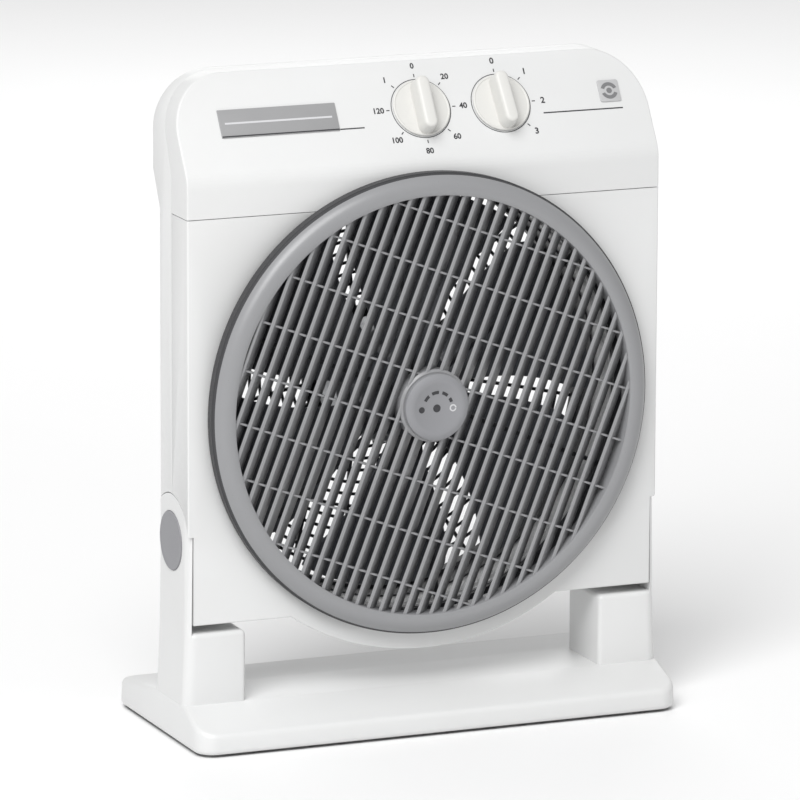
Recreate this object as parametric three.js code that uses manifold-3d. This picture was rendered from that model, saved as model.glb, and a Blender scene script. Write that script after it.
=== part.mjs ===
// Box fan with a revolving louvre grille, on a stand with side pivots.
// Millimetres, +Z up. The fan blows towards -Y. The origin is the middle of the stand's footprint,
// on the floor that it stands on.
import * as THREE from 'three';
import { mergeVertices } from 'three/addons/utils/BufferGeometryUtils.js';
import Module from 'manifold-3d';

const wasm = await Module();
wasm.setup();

// ---- driving sizes ---------------------------------------------------------------------------

// General
const WALL = 2.5; // moulded housing walls
const FIT = 0.3; // gap between two parts that touch
const SCREW_RADIUS = 1.7;
const SCREW_HEAD_RADIUS = 3.6;
const SCREW_HEAD_HEIGHT = 2.2;

// Stand
const BASE_DEPTH = 170;
const BASE_LIP = 16; // height of the front edge
const BASE_RISE = 29.5; // height where the arms stand on it
const BASE_BACK_EDGE = 19.5;
const BASE_CORNER = 15;
const BASE_SPREAD = 1; // how far the base stands out past the body, each side
const BASE_WALL = 3;
const BASE_FOOT_LIFT = 1.5; // rim above the floor
const PAD_RADIUS = 8;
const PAD_HEIGHT = 3.5;
const PAD_INSET = 17; // pad centre from the base's edges
const ARM_WIDTH = 43.2;
const ARM_HEIGHT = 80.4; // top of the arm block above the floor
const ARM_PLATE = 3.8; // thin outer plate that rises to the pivot
const LOBE_RADIUS = 34.5; // round top of that plate

// Body
const BODY_SETBACK = 36; // body's front face behind the base's front edge
const BODY_WIDTH = 357;
const BODY_DEPTH = 54;
const BODY_CORNER = 40; // top corners in front view
const BODY_EDGE = 8; // rounding of the front edges
const BODY_LIFT = 6; // air gap above the arm blocks
const AXIS_ABOVE_BOTTOM = 147; // fan axis above the body's bottom edge
const SEAM_ABOVE_AXIS = 141;
const BEND_ABOVE_SEAM = 27;
const PANEL_LENGTH = 80; // up the slope
const PANEL_LEAN = THREE.MathUtils.degToRad(32); // from upright
const FRONT_SHELL_DEPTH = 31;
const HEAD_BULGE = 13; // the head is deeper than the body at the back
const HEAD_ROUND = 14; // rounding of the head's back edge
const CHIN_CLEAR = 13.5; // chin radius over the ring's radius
const PIVOT_ABOVE_BOTTOM = 55;
const PIVOT_BEHIND_FRONT = 33;

// Pivots
const BUSH_RADIUS = 8.6;
const CAP_RADIUS = 21;
const CAP_THICKNESS = 1.7;
const CAP_SEAT = 1.2;

// Revolving grille
const RING_RADIUS = 165;
const RING_BAND = 15.5; // width of the convex ring
const RING_STANDOFF = 5; // ring's edge in front of the body
const RING_HEIGHT = 14; // crown above that edge
const COLLAR_INSET = 5; // body opening inside the ring's edge
const COLLAR_DEPTH = 27;
const SLAT_PITCH = 9.5;
const SLAT_THICKNESS = 1.8;
const SLAT_DEPTH = 12;
const SLAT_LEAN = THREE.MathUtils.degToRad(21.3); // clockwise from upright, seen from the front
const SLAT_ANGLE = THREE.MathUtils.degToRad(35); // each slat's own set to the air
const RIB_PITCH = 72;
const RIB_THICKNESS = 1.6;
const RIB_DEPTH = 5;
const GRILLE_HUB_RADIUS = 26;
const LOCK_KNOB_RADIUS = 23.8;
const LOCK_KNOB_HEIGHT = 5;
const PIN_RADIUS = 4; // pin on the guard that the grille turns on
const GRILLE_BUSH_WALL = 2;

// Rotor and motor
const BLADE_COUNT = 6;
const BLADE_TIP_GAP = 22; // blade tips inside the ring's radius
const BLADE_CHORD_ROOT = 36; // degrees of arc covered at the hub
const BLADE_CHORD_TIP = 50;
const BLADE_AXIAL = 21;
const ROTOR_TURN = THREE.MathUtils.degToRad(-31); // where the rotor stands at rest
const BLADE_THICKNESS = 2;
const ROTOR_HUB_RADIUS = 34;
const ROTOR_FRONT = 31; // hub's front face behind the body's front face
const SHAFT_RADIUS = 4;
const MOTOR_RADIUS = 43;
const MOTOR_FRONT = 63; // motor's front face behind the body's front face
const MOTOR_LENGTH = 39;
const MOTOR_PLATE = 3;
const ARMATURE_RADIUS = 23.4;
const BEARING_RADIUS = 8;
const BEARING_LENGTH = 8;

// Rear grille
const DRUM_INSET = 12.5; // drum's inner wall inside the ring's radius
const DRUM_DEPTH = 25;
const DOME_DEPTH = 116; // back of the grille behind the body's front face
const GRILLE_BAR = 2.4;
const GRILLE_BAR_HEIGHT = 3;
const GRILLE_RING_COUNT = 5;
const GRILLE_SPOKE_COUNT = 10;
const GRILLE_PLATE_RADIUS = 48;

// Controls, placed by their distance across the panel and up its slope
const KNOB_RADIUS = 21.7;
const KNOB_DISC = 3.7;
const KNOB_GRIP_HEIGHT = 11;
const KNOB_GRIP_WIDTH = 10;
const KNOB_GAP = 0.8;
const SPINDLE_RADIUS = 3;
const TIMER_X = 5.2;
const SPEED_X = 66;
const KNOB_UP = 43;
const TIMER_RADIUS = 20;
const TIMER_DEPTH = 19;
const GRIP_CLEAR = 0.6; // between the timer and the wall of the finger grip
const SWITCH_SIZE = 32;
const SWITCH_DEPTH = 20;
const NAME_PLATE = { left: -146.5, right: -58.5, low: 30.5, high: 51.5 };
const MARK_PLATE = { left: 142, right: 158, low: 38.5, high: 55 };
const PLATE_THICKNESS = 0.8;
const CAPACITOR = { left: 83, width: 36, depth: 15, height: 28 };

// ---- places worked out from them ---------------------------------------------------------------

const baseFront = -BASE_DEPTH / 2;
const bodyFront = baseFront + BODY_SETBACK;
const bodyBack = bodyFront + BODY_DEPTH;
const parting = bodyFront + FRONT_SHELL_DEPTH;
const bodyBottom = ARM_HEIGHT + BODY_LIFT;
const axisZ = bodyBottom + AXIS_ABOVE_BOTTOM;
const seamZ = axisZ + SEAM_ABOVE_AXIS;
const bendZ = seamZ + BEND_ABOVE_SEAM;
const bodyTop = bendZ + PANEL_LENGTH * Math.cos(PANEL_LEAN);
const headBack = bodyBack + HEAD_BULGE;
const pivotY = bodyFront + PIVOT_BEHIND_FRONT;
const pivotZ = bodyBottom + PIVOT_ABOVE_BOTTOM;
const bodyHalf = BODY_WIDTH / 2;
const baseHalf = bodyHalf + BASE_SPREAD;
const plateInner = bodyHalf - ARM_PLATE;
const recessFace = plateInner - 2 * FIT;
const openingRadius = RING_RADIUS - COLLAR_INSET;
const louvreRadius = RING_RADIUS - RING_BAND;
const chinRadius = RING_RADIUS + CHIN_CLEAR;
const ringEdgeY = bodyFront - RING_STANDOFF;
const crownY = ringEdgeY - RING_HEIGHT;
const slatFrontY = crownY + 2;
const collarBack = bodyFront + COLLAR_DEPTH;
const drumRadius = RING_RADIUS - DRUM_INSET;
const drumBack = bodyBack + DRUM_DEPTH;
const domeBack = bodyFront + DOME_DEPTH;
const rotorFrontY = bodyFront + ROTOR_FRONT;
const tipRadius = RING_RADIUS - BLADE_TIP_GAP;
const motorFrontY = bodyFront + MOTOR_FRONT;
const motorBackY = motorFrontY + MOTOR_LENGTH;

const ROUND = 40; // sides of the big circles
const MEDIUM_ROUND = 20;
const SMALL_ROUND = 10; // sides of bosses and pads
const SCREW_ROUND = 8;

// ---- solid helpers -----------------------------------------------------------------------------

// A three.js geometry as a manifold solid, with its faces turned outwards.
function solidOf(geometry) {
  const bare = new THREE.BufferGeometry();
  bare.setAttribute('position', geometry.getAttribute('position'));
  bare.setIndex(geometry.index);
  const merged = mergeVertices(bare, 1e-4);
  const at = merged.getAttribute('position');
  const index = merged.index.array;
  const a = new THREE.Vector3();
  const b = new THREE.Vector3();
  const c = new THREE.Vector3();
  const triangles = [];
  let volume = 0;
  for (let i = 0; i < index.length; i += 3) {
    const [p, q, r] = [index[i], index[i + 1], index[i + 2]];
    if (p === q || q === r || r === p) continue;
    a.fromBufferAttribute(at, p);
    b.fromBufferAttribute(at, q);
    c.fromBufferAttribute(at, r);
    volume += a.dot(b.cross(c));
    triangles.push(p, q, r);
  }
  if (volume < 0) triangles.reverse();
  return new wasm.Manifold(new wasm.Mesh({
    numProp: 3,
    vertProperties: new Float32Array(at.array),
    triVerts: new Uint32Array(triangles),
  }));
}

function geometryOf(solid) {
  const mesh = solid.getMesh();
  const geometry = new THREE.BufferGeometry();
  geometry.setAttribute('position', new THREE.BufferAttribute(mesh.vertProperties, 3));
  geometry.setIndex(new THREE.BufferAttribute(mesh.triVerts, 1));
  geometry.computeVertexNormals();
  return geometry;
}

const join = (...solids) => solids.reduce((whole, next) => whole.add(next));
const cut = (solid, ...tools) => tools.reduce((rest, tool) => rest.subtract(tool), solid);

function block(x0, x1, y0, y1, z0, z1) {
  const geometry = new THREE.BoxGeometry(x1 - x0, y1 - y0, z1 - z0);
  return solidOf(geometry.translate((x0 + x1) / 2, (y0 + y1) / 2, (z0 + z1) / 2));
}

// Cylinders along each axis.
function rodGeometry(radius, length, sides) {
  return new THREE.CylinderGeometry(radius, radius, length, sides);
}

function rodY(x, z, radius, y0, y1, sides = SMALL_ROUND) {
  return solidOf(rodGeometry(radius, y1 - y0, sides).translate(x, (y0 + y1) / 2, z));
}

function rodX(y, z, radius, x0, x1, sides = MEDIUM_ROUND) {
  const geometry = rodGeometry(radius, x1 - x0, sides).rotateZ(Math.PI / 2);
  return solidOf(geometry.translate((x0 + x1) / 2, y, z));
}

function rodZ(x, y, radius, z0, z1, sides = SMALL_ROUND) {
  const geometry = rodGeometry(radius, z1 - z0, sides).rotateX(Math.PI / 2);
  return solidOf(geometry.translate(x, y, (z0 + z1) / 2));
}

// A ring or disc turned about the fan axis, from closed [radius, y] points.
function turnedGeometry(points, sides) {
  const closed = [...points, points[0]].map(([radius, y]) => new THREE.Vector2(radius, y));
  return new THREE.LatheGeometry(closed, sides);
}

function turned(points, sides = ROUND) {
  return solidOf(turnedGeometry(points, sides).translate(0, 0, axisZ));
}

function tubeAboutAxis(inner, outer, y0, y1, sides = ROUND) {
  return turned([[inner, y0], [outer, y0], [outer, y1], [inner, y1]], sides);
}

// A front-view outline run along Y, and a side-view [y, z] outline run along X.
function frontPrism(shape, y0, y1, options = {}) {
  const settings = { depth: y1 - y0, bevelEnabled: false, curveSegments: 14, ...options };
  return solidOf(new THREE.ExtrudeGeometry(shape, settings).rotateX(Math.PI / 2).translate(0, y1, 0));
}

const alongX = new THREE.Matrix4().makeBasis(
  new THREE.Vector3(0, 1, 0), new THREE.Vector3(0, 0, 1), new THREE.Vector3(1, 0, 0));

function sidePrism(points, x0, x1) {
  const shape = new THREE.Shape(points.map(([y, z]) => new THREE.Vector2(y, z)));
  const geometry = new THREE.ExtrudeGeometry(shape, { depth: x1 - x0, bevelEnabled: false });
  return solidOf(geometry.applyMatrix4(alongX).translate(x0, 0, 0));
}

// The same outline moved inwards by a wall; points run anticlockwise.
function insetOutline(points, wall) {
  return points.map((here, i) => {
    const before = points[(i + points.length - 1) % points.length];
    const after = points[(i + 1) % points.length];
    const inward = (from, to) => {
      const length = Math.hypot(to[0] - from[0], to[1] - from[1]);
      return [-(to[1] - from[1]) / length, (to[0] - from[0]) / length];
    };
    const m = inward(before, here);
    const n = inward(here, after);
    const reach = wall / (1 + m[0] * n[0] + m[1] * n[1]);
    return [here[0] + (m[0] + n[0]) * reach, here[1] + (m[1] + n[1]) * reach];
  });
}

// Places a piece that was drawn on an upright panel at y = 0 onto the sloping panel.
const panelPlace = (x, up) => new THREE.Matrix4().compose(
  new THREE.Vector3(x, bodyFront + up * Math.sin(PANEL_LEAN), bendZ + up * Math.cos(PANEL_LEAN)),
  new THREE.Quaternion().setFromAxisAngle(new THREE.Vector3(1, 0, 0), -PANEL_LEAN),
  new THREE.Vector3(1, 1, 1));

function panelRod(x, up, radius, y0, y1, sides = MEDIUM_ROUND) {
  const geometry = rodGeometry(radius, y1 - y0, sides).translate(0, (y0 + y1) / 2, 0);
  return solidOf(geometry.applyMatrix4(panelPlace(x, up)));
}

function panelBlock(x, up, width, y0, y1, height) {
  const geometry = new THREE.BoxGeometry(width, y1 - y0, height).translate(0, (y0 + y1) / 2, 0);
  return solidOf(geometry.applyMatrix4(panelPlace(x, up)));
}

// A pan-head screw along Y, its head on the +Y side of headY.
function screwY(x, z, tipY, headY) {
  return join(
    rodY(x, z, SCREW_RADIUS, tipY, headY + 0.5, SCREW_ROUND),
    rodY(x, z, SCREW_HEAD_RADIUS, headY, headY + SCREW_HEAD_HEIGHT, SCREW_ROUND));
}

// ---- finishes ----------------------------------------------------------------------------------

const FINISHES = {
  white: { color: 0xe9e9e6, roughness: 0.42, metalness: 0 },
  cream: { color: 0xefede6, roughness: 0.4, metalness: 0 },
  grey: { color: 0x9a9da3, roughness: 0.45, metalness: 0 },
  capGrey: { color: 0x98989b, roughness: 0.5, metalness: 0 },
  plateGrey: { color: 0x8b8c90, roughness: 0.5, metalness: 0 },
  darkPlastic: { color: 0x3a3c40, roughness: 0.5, metalness: 0 },
  blade: { color: 0x5b5f66, roughness: 0.4, metalness: 0 },
  rubber: { color: 0x1b1b1c, roughness: 0.9, metalness: 0 },
  steel: { color: 0xb9bbbd, roughness: 0.35, metalness: 1 },
  zinc: { color: 0xa7a9aa, roughness: 0.4, metalness: 1 },
  lamination: { color: 0x55575a, roughness: 0.55, metalness: 0.9 },
  copper: { color: 0xb06a3a, roughness: 0.4, metalness: 0.9 },
  bronze: { color: 0xa7834a, roughness: 0.45, metalness: 1 },
  brown: { color: 0x6b4a33, roughness: 0.5, metalness: 0 },
};

const fan = new THREE.Group();
fan.name = 'box_fan';
const stand = new THREE.Group();
stand.name = 'stand_group';
const head = new THREE.Group();
head.name = 'tilting_body';
fan.add(stand, head);

function place(group, name, solid, finish) {
  const mesh = new THREE.Mesh(geometryOf(solid), new THREE.MeshStandardMaterial(FINISHES[finish]));
  mesh.name = name;
  group.add(mesh);
  return mesh;
}

// ---- stand -------------------------------------------------------------------------------------

// Side view of the base: a low front edge that rises to the arms and falls away to the back.
function baseOutline(inset) {
  const back = BASE_DEPTH / 2;
  const outline = [
    [baseFront, BASE_FOOT_LIFT],
    [back, BASE_FOOT_LIFT],
    [back, BASE_BACK_EDGE - 2],
    [back - 3, BASE_BACK_EDGE],
    [bodyBack, BASE_RISE],
    [bodyFront, BASE_RISE],
    [baseFront + 3, BASE_LIP],
    [baseFront, BASE_LIP - 3],
  ];
  const inner = insetOutline(outline, inset);
  const floor = inset > 0 ? -1 : BASE_FOOT_LIFT;
  inner[0][1] = floor;
  inner[1][1] = floor;
  return inner;
}

// The same base in plan, with its round corners.
function basePlan(inset) {
  const half = baseHalf - inset;
  const deep = BASE_DEPTH / 2 - inset;
  const corner = BASE_CORNER - inset;
  const plan = new THREE.Shape();
  plan.moveTo(-half + corner, -deep);
  plan.lineTo(half - corner, -deep);
  plan.absarc(half - corner, -deep + corner, corner, -Math.PI / 2, 0, false);
  plan.absarc(half - corner, deep - corner, corner, 0, Math.PI / 2, false);
  plan.absarc(-half + corner, deep - corner, corner, Math.PI / 2, Math.PI, false);
  plan.absarc(-half + corner, -deep + corner, corner, Math.PI, 1.5 * Math.PI, false);
  const geometry = new THREE.ExtrudeGeometry(plan, {
    depth: 2 * BASE_RISE, bevelEnabled: false, curveSegments: 6 });
  return solidOf(geometry.translate(0, 0, -BASE_RISE / 2));
}

const baseSolid = (inset) => sidePrism(baseOutline(inset), -baseHalf, baseHalf)
  .intersect(basePlan(inset));

// One arm: a block with the thin plate outside it that carries the pivot.
function armBlock(side, inset) {
  const outer = bodyHalf - inset;
  const inner = bodyHalf - ARM_WIDTH + inset;
  const [x0, x1] = side > 0 ? [inner, outer] : [-outer, -inner];
  return block(x0, x1, bodyFront + inset, bodyBack - inset, BASE_FOOT_LIFT, ARM_HEIGHT - inset);
}

function armPlate(side) {
  const [x0, x1] = side > 0 ? [plateInner, bodyHalf] : [-bodyHalf, -plateInner];
  const lobe = rodX(pivotY, pivotZ, LOBE_RADIUS, x0, x1, 36);
  const post = block(x0, x1, bodyFront, bodyBack, ARM_HEIGHT - 5, pivotZ);
  return join(lobe, post).intersect(block(x0, x1, bodyFront, bodyBack, 0, pivotZ + LOBE_RADIUS));
}

function sideRange(side, near, far) {
  return side > 0 ? [near, far] : [-far, -near];
}

const padSpots = [];
for (const x of [-baseHalf + PAD_INSET, baseHalf - PAD_INSET]) {
  for (const y of [baseFront + PAD_INSET, -baseFront - PAD_INSET]) padSpots.push([x, y]);
}

function buildStand() {
  let shell = cut(
    join(baseSolid(0), armBlock(-1, 0), armBlock(1, 0)),
    baseSolid(BASE_WALL), armBlock(-1, BASE_WALL), armBlock(1, BASE_WALL));
  for (const side of [-1, 1]) {
    const hole = BUSH_RADIUS + FIT;
    const plate = cut(
      armPlate(side),
      rodX(pivotY, pivotZ, hole, ...sideRange(side, plateInner - 1, bodyHalf + 1)),
      rodX(pivotY, pivotZ, CAP_RADIUS + FIT, ...sideRange(side, bodyHalf - CAP_SEAT, bodyHalf + 1)));
    shell = join(shell, plate);
  }
  const seats = padSpots.map(([x, y]) => rodZ(x, y, PAD_RADIUS + 2.2, BASE_FOOT_LIFT, 4 * BASE_RISE)
    .intersect(baseSolid(BASE_WALL / 2)));
  const pockets = padSpots.map(([x, y]) => rodZ(x, y, PAD_RADIUS + FIT, -1, PAD_HEIGHT + FIT));
  return cut(join(shell, ...seats), ...pockets);
}

place(stand, 'stand', buildStand(), 'white');
padSpots.forEach(([x, y], i) => {
  place(stand, `foot_pad_${i + 1}`, rodZ(x, y, PAD_RADIUS, 0, PAD_HEIGHT), 'rubber');
});

// ---- pivots ------------------------------------------------------------------------------------

const bushOuterX = bodyHalf - CAP_SEAT - FIT;
const bushLength = 17;
const screwSeat = 2.8; // depth of the screw's seat in the bush

for (const [name, side] of [['left', -1], ['right', 1]]) {
  const spanX = (near, far) => sideRange(side, near, far);
  const capFace = bodyHalf - CAP_SEAT + FIT;
  place(stand, `pivot_cap_${name}`,
    rodX(pivotY, pivotZ, CAP_RADIUS, ...spanX(capFace, capFace + CAP_THICKNESS)), 'capGrey');
  place(head, `pivot_bush_${name}`, cut(
    rodX(pivotY, pivotZ, BUSH_RADIUS, ...spanX(bushOuterX - bushLength, bushOuterX)),
    rodX(pivotY, pivotZ, SCREW_RADIUS + FIT, ...spanX(bodyHalf - 60, bodyHalf)),
    rodX(pivotY, pivotZ, SCREW_HEAD_RADIUS + 1, ...spanX(bushOuterX - screwSeat, bodyHalf))), 'darkPlastic');
  place(head, `pivot_screw_${name}`, join(
    rodX(pivotY, pivotZ, SCREW_RADIUS, ...spanX(bushOuterX - bushLength - 9, bushOuterX - 1), SCREW_ROUND),
    rodX(pivotY, pivotZ, SCREW_HEAD_RADIUS,
      ...spanX(bushOuterX - screwSeat + FIT, bushOuterX - FIT), SMALL_ROUND)), 'steel');
}

// ---- body shells -------------------------------------------------------------------------------

function bodyOutline(inset) {
  const half = bodyHalf - inset;
  const bottom = bodyBottom + inset;
  const top = bodyTop - inset;
  const corner = BODY_CORNER - inset;
  const chin = chinRadius - inset;
  const chinAngle = Math.asin((axisZ - bottom) / chin);
  const outline = new THREE.Shape();
  outline.moveTo(-half, bottom);
  outline.lineTo(-chin * Math.cos(chinAngle), bottom);
  outline.absarc(0, axisZ, chin, Math.PI + chinAngle, 2 * Math.PI - chinAngle, false);
  outline.lineTo(half, bottom);
  outline.absarc(half - corner, top - corner, corner, 0, Math.PI / 2, false);
  outline.absarc(-half + corner, top - corner, corner, Math.PI / 2, Math.PI, false);
  return outline;
}

// Side view of the body: upright front, sloping panel, a head that bulges at the back.
const panelTop = PANEL_LENGTH * 0.9; // where the slope starts to round into the top
const roofFront = bodyFront + PANEL_LENGTH * Math.sin(PANEL_LEAN) + 4;
const headRound = Math.min(HEAD_ROUND, headBack - roofFront - 6); // limited by the roof's depth
const bodyProfile = [
  [bodyFront, 0],
  [bodyBack, 0],
  [bodyBack, seamZ],
  [headBack, seamZ + 26],
  [headBack, bodyTop - headRound],
  [headBack - headRound * 0.29, bodyTop - headRound * 0.29],
  [headBack - headRound, bodyTop],
  [roofFront, bodyTop],
  [bodyFront + panelTop * Math.sin(PANEL_LEAN), bendZ + panelTop * Math.cos(PANEL_LEAN)],
  [bodyFront + 4 * Math.sin(PANEL_LEAN), bendZ + 4 * Math.cos(PANEL_LEAN)],
  [bodyFront, bendZ - 4],
];

// Room for the arm plates: the body's sides are set in around and below the pivots.
function sideRecess(side, grow) {
  const [x0, x1] = side > 0
    ? [recessFace - grow, bodyHalf + 5] : [-bodyHalf - 5, -recessFace + grow];
  return join(
    rodX(pivotY, pivotZ, LOBE_RADIUS + 1.5 + grow, x0, x1, 36),
    block(x0, x1, bodyFront - 5, bodyBack + 5, 0, pivotZ));
}

function bodySolid(inset) {
  const edge = BODY_EDGE - inset;
  const rounded = frontPrism(bodyOutline(inset), bodyFront + inset + edge, headBack + 20, {
    bevelEnabled: true, bevelThickness: edge, bevelSize: edge, bevelOffset: -edge, bevelSegments: 2 });
  const side = sidePrism(insetOutline(bodyProfile, inset), -bodyHalf - 5, bodyHalf + 5);
  return cut(rounded.intersect(side), sideRecess(-1, inset), sideRecess(1, inset));
}

const outerBody = bodySolid(0);
const innerBody = bodySolid(WALL);
const bodyShell = outerBody.subtract(innerBody);

// The three mouldings meet at the seam and at a parting line that leans back with the panel.
const far = 2 * BODY_WIDTH;
const partingTop = parting + 26;
const lowFront = block(-far, far, -far, parting - FIT / 2, 0, seamZ - FIT / 2);
const highFront = sidePrism([
  [-far, seamZ + FIT / 2], [parting - FIT / 2, seamZ + FIT / 2], [parting - FIT / 2, bendZ],
  [partingTop - FIT / 2, bodyTop + 10], [-far, bodyTop + 10],
], -far, far);
const behind = sidePrism([
  [parting + FIT / 2, -10], [far, -10], [far, bodyTop + 10], [partingTop + FIT / 2, bodyTop + 10],
  [parting + FIT / 2, bendZ],
], -far, far);

// Screw bosses: four in the lower corners and sides, two in the head.
const BOSS_RADIUS = 5.6;
const bossX = recessFace - WALL - 2 * BOSS_RADIUS;
const bodyBosses = [
  [-bossX, bodyBottom + 18], [bossX, bodyBottom + 18],
  [-bossX, seamZ - 20], [bossX, seamZ - 20],
];
const headBosses = [[-bodyHalf + 50, bodyTop - 28], [bodyHalf - 50, bodyTop - 28]];
const bossSplit = parting + 12; // the head's bosses meet further back than the body's

function boss(x, z, y0, y1) {
  return rodY(x, z, BOSS_RADIUS, y0, y1).intersect(bodySolid(WALL / 2));
}

const screwBore = (x, z, tipY) => rodY(x, z, SCREW_RADIUS + FIT, tipY, far, SCREW_ROUND);
const screwSink = (x, z, backY) => rodY(x, z, SCREW_HEAD_RADIUS + FIT, backY - 4, far, SCREW_ROUND);

// Front housing: the frame around the opening, with a collar that runs in behind the ring.
function buildFrontHousing() {
  const collarOuter = openingRadius + WALL;
  const guardSeat = turned([
    [openingRadius - 7, collarBack - WALL], [collarOuter, collarBack - WALL],
    [collarOuter, collarBack], [openingRadius - 7, collarBack],
  ]);
  const collar = join(tubeAboutAxis(openingRadius, collarOuter, bodyFront, collarBack), guardSeat);
  const frame = cut(bodyShell.intersect(lowFront), tubeAboutAxis(0, openingRadius + 1, -far, far));
  const bosses = bodyBosses.map(([x, z]) => boss(x, z, bodyFront, parting - FIT / 2));
  const ends = [-1, 1].map((side) => rodX(pivotY, pivotZ, BUSH_RADIUS + FIT,
    ...sideRange(side, bushOuterX - bushLength - FIT, bodyHalf)));
  const bores = bodyBosses.map(([x, z]) => screwBore(x, z, bodyFront + WALL + 4));
  const [front, back] = [bodyFront + WALL / 2, parting - FIT / 2];
  const pivots = [-1, 1].map((side) => {
    const [x0, x1] = sideRange(side, bushOuterX - bushLength - 10, recessFace - WALL / 2);
    return rodX(pivotY, pivotZ, BUSH_RADIUS + 3, x0, x1).intersect(block(x0, x1, front, back, 0, far));
  });
  const shanks = [-1, 1].map((side) => rodX(pivotY, pivotZ, SCREW_RADIUS + FIT,
    ...sideRange(side, bushOuterX - bushLength - 12, bodyHalf)));
  return cut(join(frame, collar, ...bosses, ...pivots), ...bores, ...ends, ...shanks);
}

// Control panel: the sloping face of the head, cut away around the collar.
function buildControlPanel() {
  const bosses = headBosses.map(([x, z]) => boss(x, z, bodyFront, bossSplit - FIT / 2));
  const bores = headBosses.map(([x, z]) => screwBore(x, z, bossSplit - 12));
  const holes = [TIMER_X, SPEED_X].map(
    (x) => panelRod(x, KNOB_UP, SPINDLE_RADIUS + 1.5, -5, WALL + 5, SMALL_ROUND));
  return cut(
    join(bodyShell.intersect(highFront), ...bosses),
    tubeAboutAxis(0, openingRadius + WALL + FIT, -far, far), ...bores, ...holes);
}

// Rear housing: the back of the body and head, with the drum that holds the rear grille.
const lugRadius = drumRadius + 8.5;
const lugAngles = [45, 135, 225, 315].map(THREE.MathUtils.degToRad);
const lugSpots = lugAngles.map((a) => [lugRadius * Math.cos(a), axisZ + lugRadius * Math.sin(a)]);
const inletX = -bodyHalf + 38;
const inletZ = bodyBottom + 40;
const INLET_RADIUS = 5;
// The finger grip is as deep as the timer behind the panel lets it be.
const timerBackY = bodyFront + (KNOB_UP + TIMER_RADIUS) * Math.sin(PANEL_LEAN)
  + (WALL + FIT + TIMER_DEPTH) * Math.cos(PANEL_LEAN);
const gripDepth = headBack - WALL - GRIP_CLEAR - timerBackY;
const GRIP = { half: 48, low: bodyTop - 46, height: 26, depth: gripDepth };
const LEAD_RADIUS = 2.2;
const leadNotchY = bodyBack - WALL + 0.5; // notch in the drum's front edge
const leadInsideY = bodyBack - WALL - LEAD_RADIUS - 1.8; // the lead's run in front of the rear wall

function buildRearHousing() {
  const drumOuter = drumRadius + WALL;
  const drum = tubeAboutAxis(drumRadius, drumOuter, bodyBack - WALL, drumBack);
  const posts = lugSpots.map(([x, z]) => rodY(x, z, BOSS_RADIUS, bodyBack - WALL, drumBack));
  const bosses = [
    ...bodyBosses.map(([x, z]) => boss(x, z, parting + FIT / 2, far)),
    ...headBosses.map(([x, z]) => boss(x, z, bossSplit + FIT / 2, far)),
  ];
  const [x0, x1] = [-GRIP.half, GRIP.half];
  const [z0, z1] = [GRIP.low, GRIP.low + GRIP.height];
  const gripWall = block(
    x0 - WALL, x1 + WALL, headBack - GRIP.depth - WALL, headBack - WALL / 2, z0 - WALL, z1 + WALL);
  const pivotWells = [-1, 1].map((side) => rodX(pivotY, pivotZ, BUSH_RADIUS + 3 + FIT,
    ...sideRange(side, bushOuterX - bushLength - 12, bodyHalf)));
  const shell = cut(bodyShell.intersect(behind), ...pivotWells);
  return cut(
    join(shell, drum, ...posts, ...bosses, gripWall),
    tubeAboutAxis(0, drumRadius, -far, far),
    block(x0, x1, headBack - GRIP.depth, far, z0, z1),
    rodY(inletX, inletZ, INLET_RADIUS, bodyBack - 10, far),
    rodZ(0, leadNotchY, LEAD_RADIUS + 2, axisZ + drumRadius - 10, axisZ + drumOuter + 3),
    ...lugSpots.map(([x, z]) => screwBore(x, z, drumBack - 18)),
    ...bodyBosses.map(([x, z]) => screwBore(x, z, parting)),
    ...bodyBosses.map(([x, z]) => screwSink(x, z, bodyBack)),
    ...headBosses.map(([x, z]) => screwBore(x, z, parting)),
    ...headBosses.map(([x, z]) => screwSink(x, z, headBack)));
}

place(head, 'front_housing', buildFrontHousing(), 'white');
place(head, 'control_panel', buildControlPanel(), 'white');
place(head, 'rear_housing', buildRearHousing(), 'white');
bodyBosses.forEach(([x, z], i) => {
  place(head, `housing_screw_${i + 1}`, screwY(x, z, parting - 16, bodyBack - 4 + FIT), 'steel');
});
headBosses.forEach(([x, z], i) => {
  place(head, `head_screw_${i + 1}`, screwY(x, z, bossSplit - 10, headBack - 4 + FIT), 'steel');
});
place(head, 'cord_inlet_bush', cut(
  join(
    rodY(inletX, inletZ, INLET_RADIUS - FIT, bodyBack - 8, bodyBack + 1),
    rodY(inletX, inletZ, INLET_RADIUS + 2.5, bodyBack + FIT, bodyBack + 2.5)),
  rodY(inletX, inletZ, 3.4, bodyBack - 20, bodyBack + 20)), 'darkPlastic');

// ---- guard and revolving grille ----------------------------------------------------------------

// The guard's spider carries the pin that the grille turns on.
const guardBackY = collarBack - WALL - FIT;
const guardFrontY = guardBackY - 5;
const pinTipY = slatFrontY + 1;

function buildFrontGuard() {
  const rim = tubeAboutAxis(openingRadius - 6, openingRadius - FIT, guardFrontY, guardBackY);
  const spokes = [];
  for (let i = 0; i < 6; i += 1) {
    const bar = new THREE.BoxGeometry(openingRadius - 4, guardBackY - guardFrontY, 3.2);
    bar.translate((openingRadius - 4) / 2, (guardFrontY + guardBackY) / 2, 0);
    spokes.push(solidOf(bar.rotateY(-i * Math.PI / 3 - 0.4).translate(0, 0, axisZ)));
  }
  const boss = tubeAboutAxis(0, 18, guardFrontY - 3, guardBackY - 2, MEDIUM_ROUND);
  const pin = tubeAboutAxis(0, PIN_RADIUS, pinTipY, guardFrontY, MEDIUM_ROUND);
  return join(rim, boss, pin, ...spokes);
}

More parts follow.
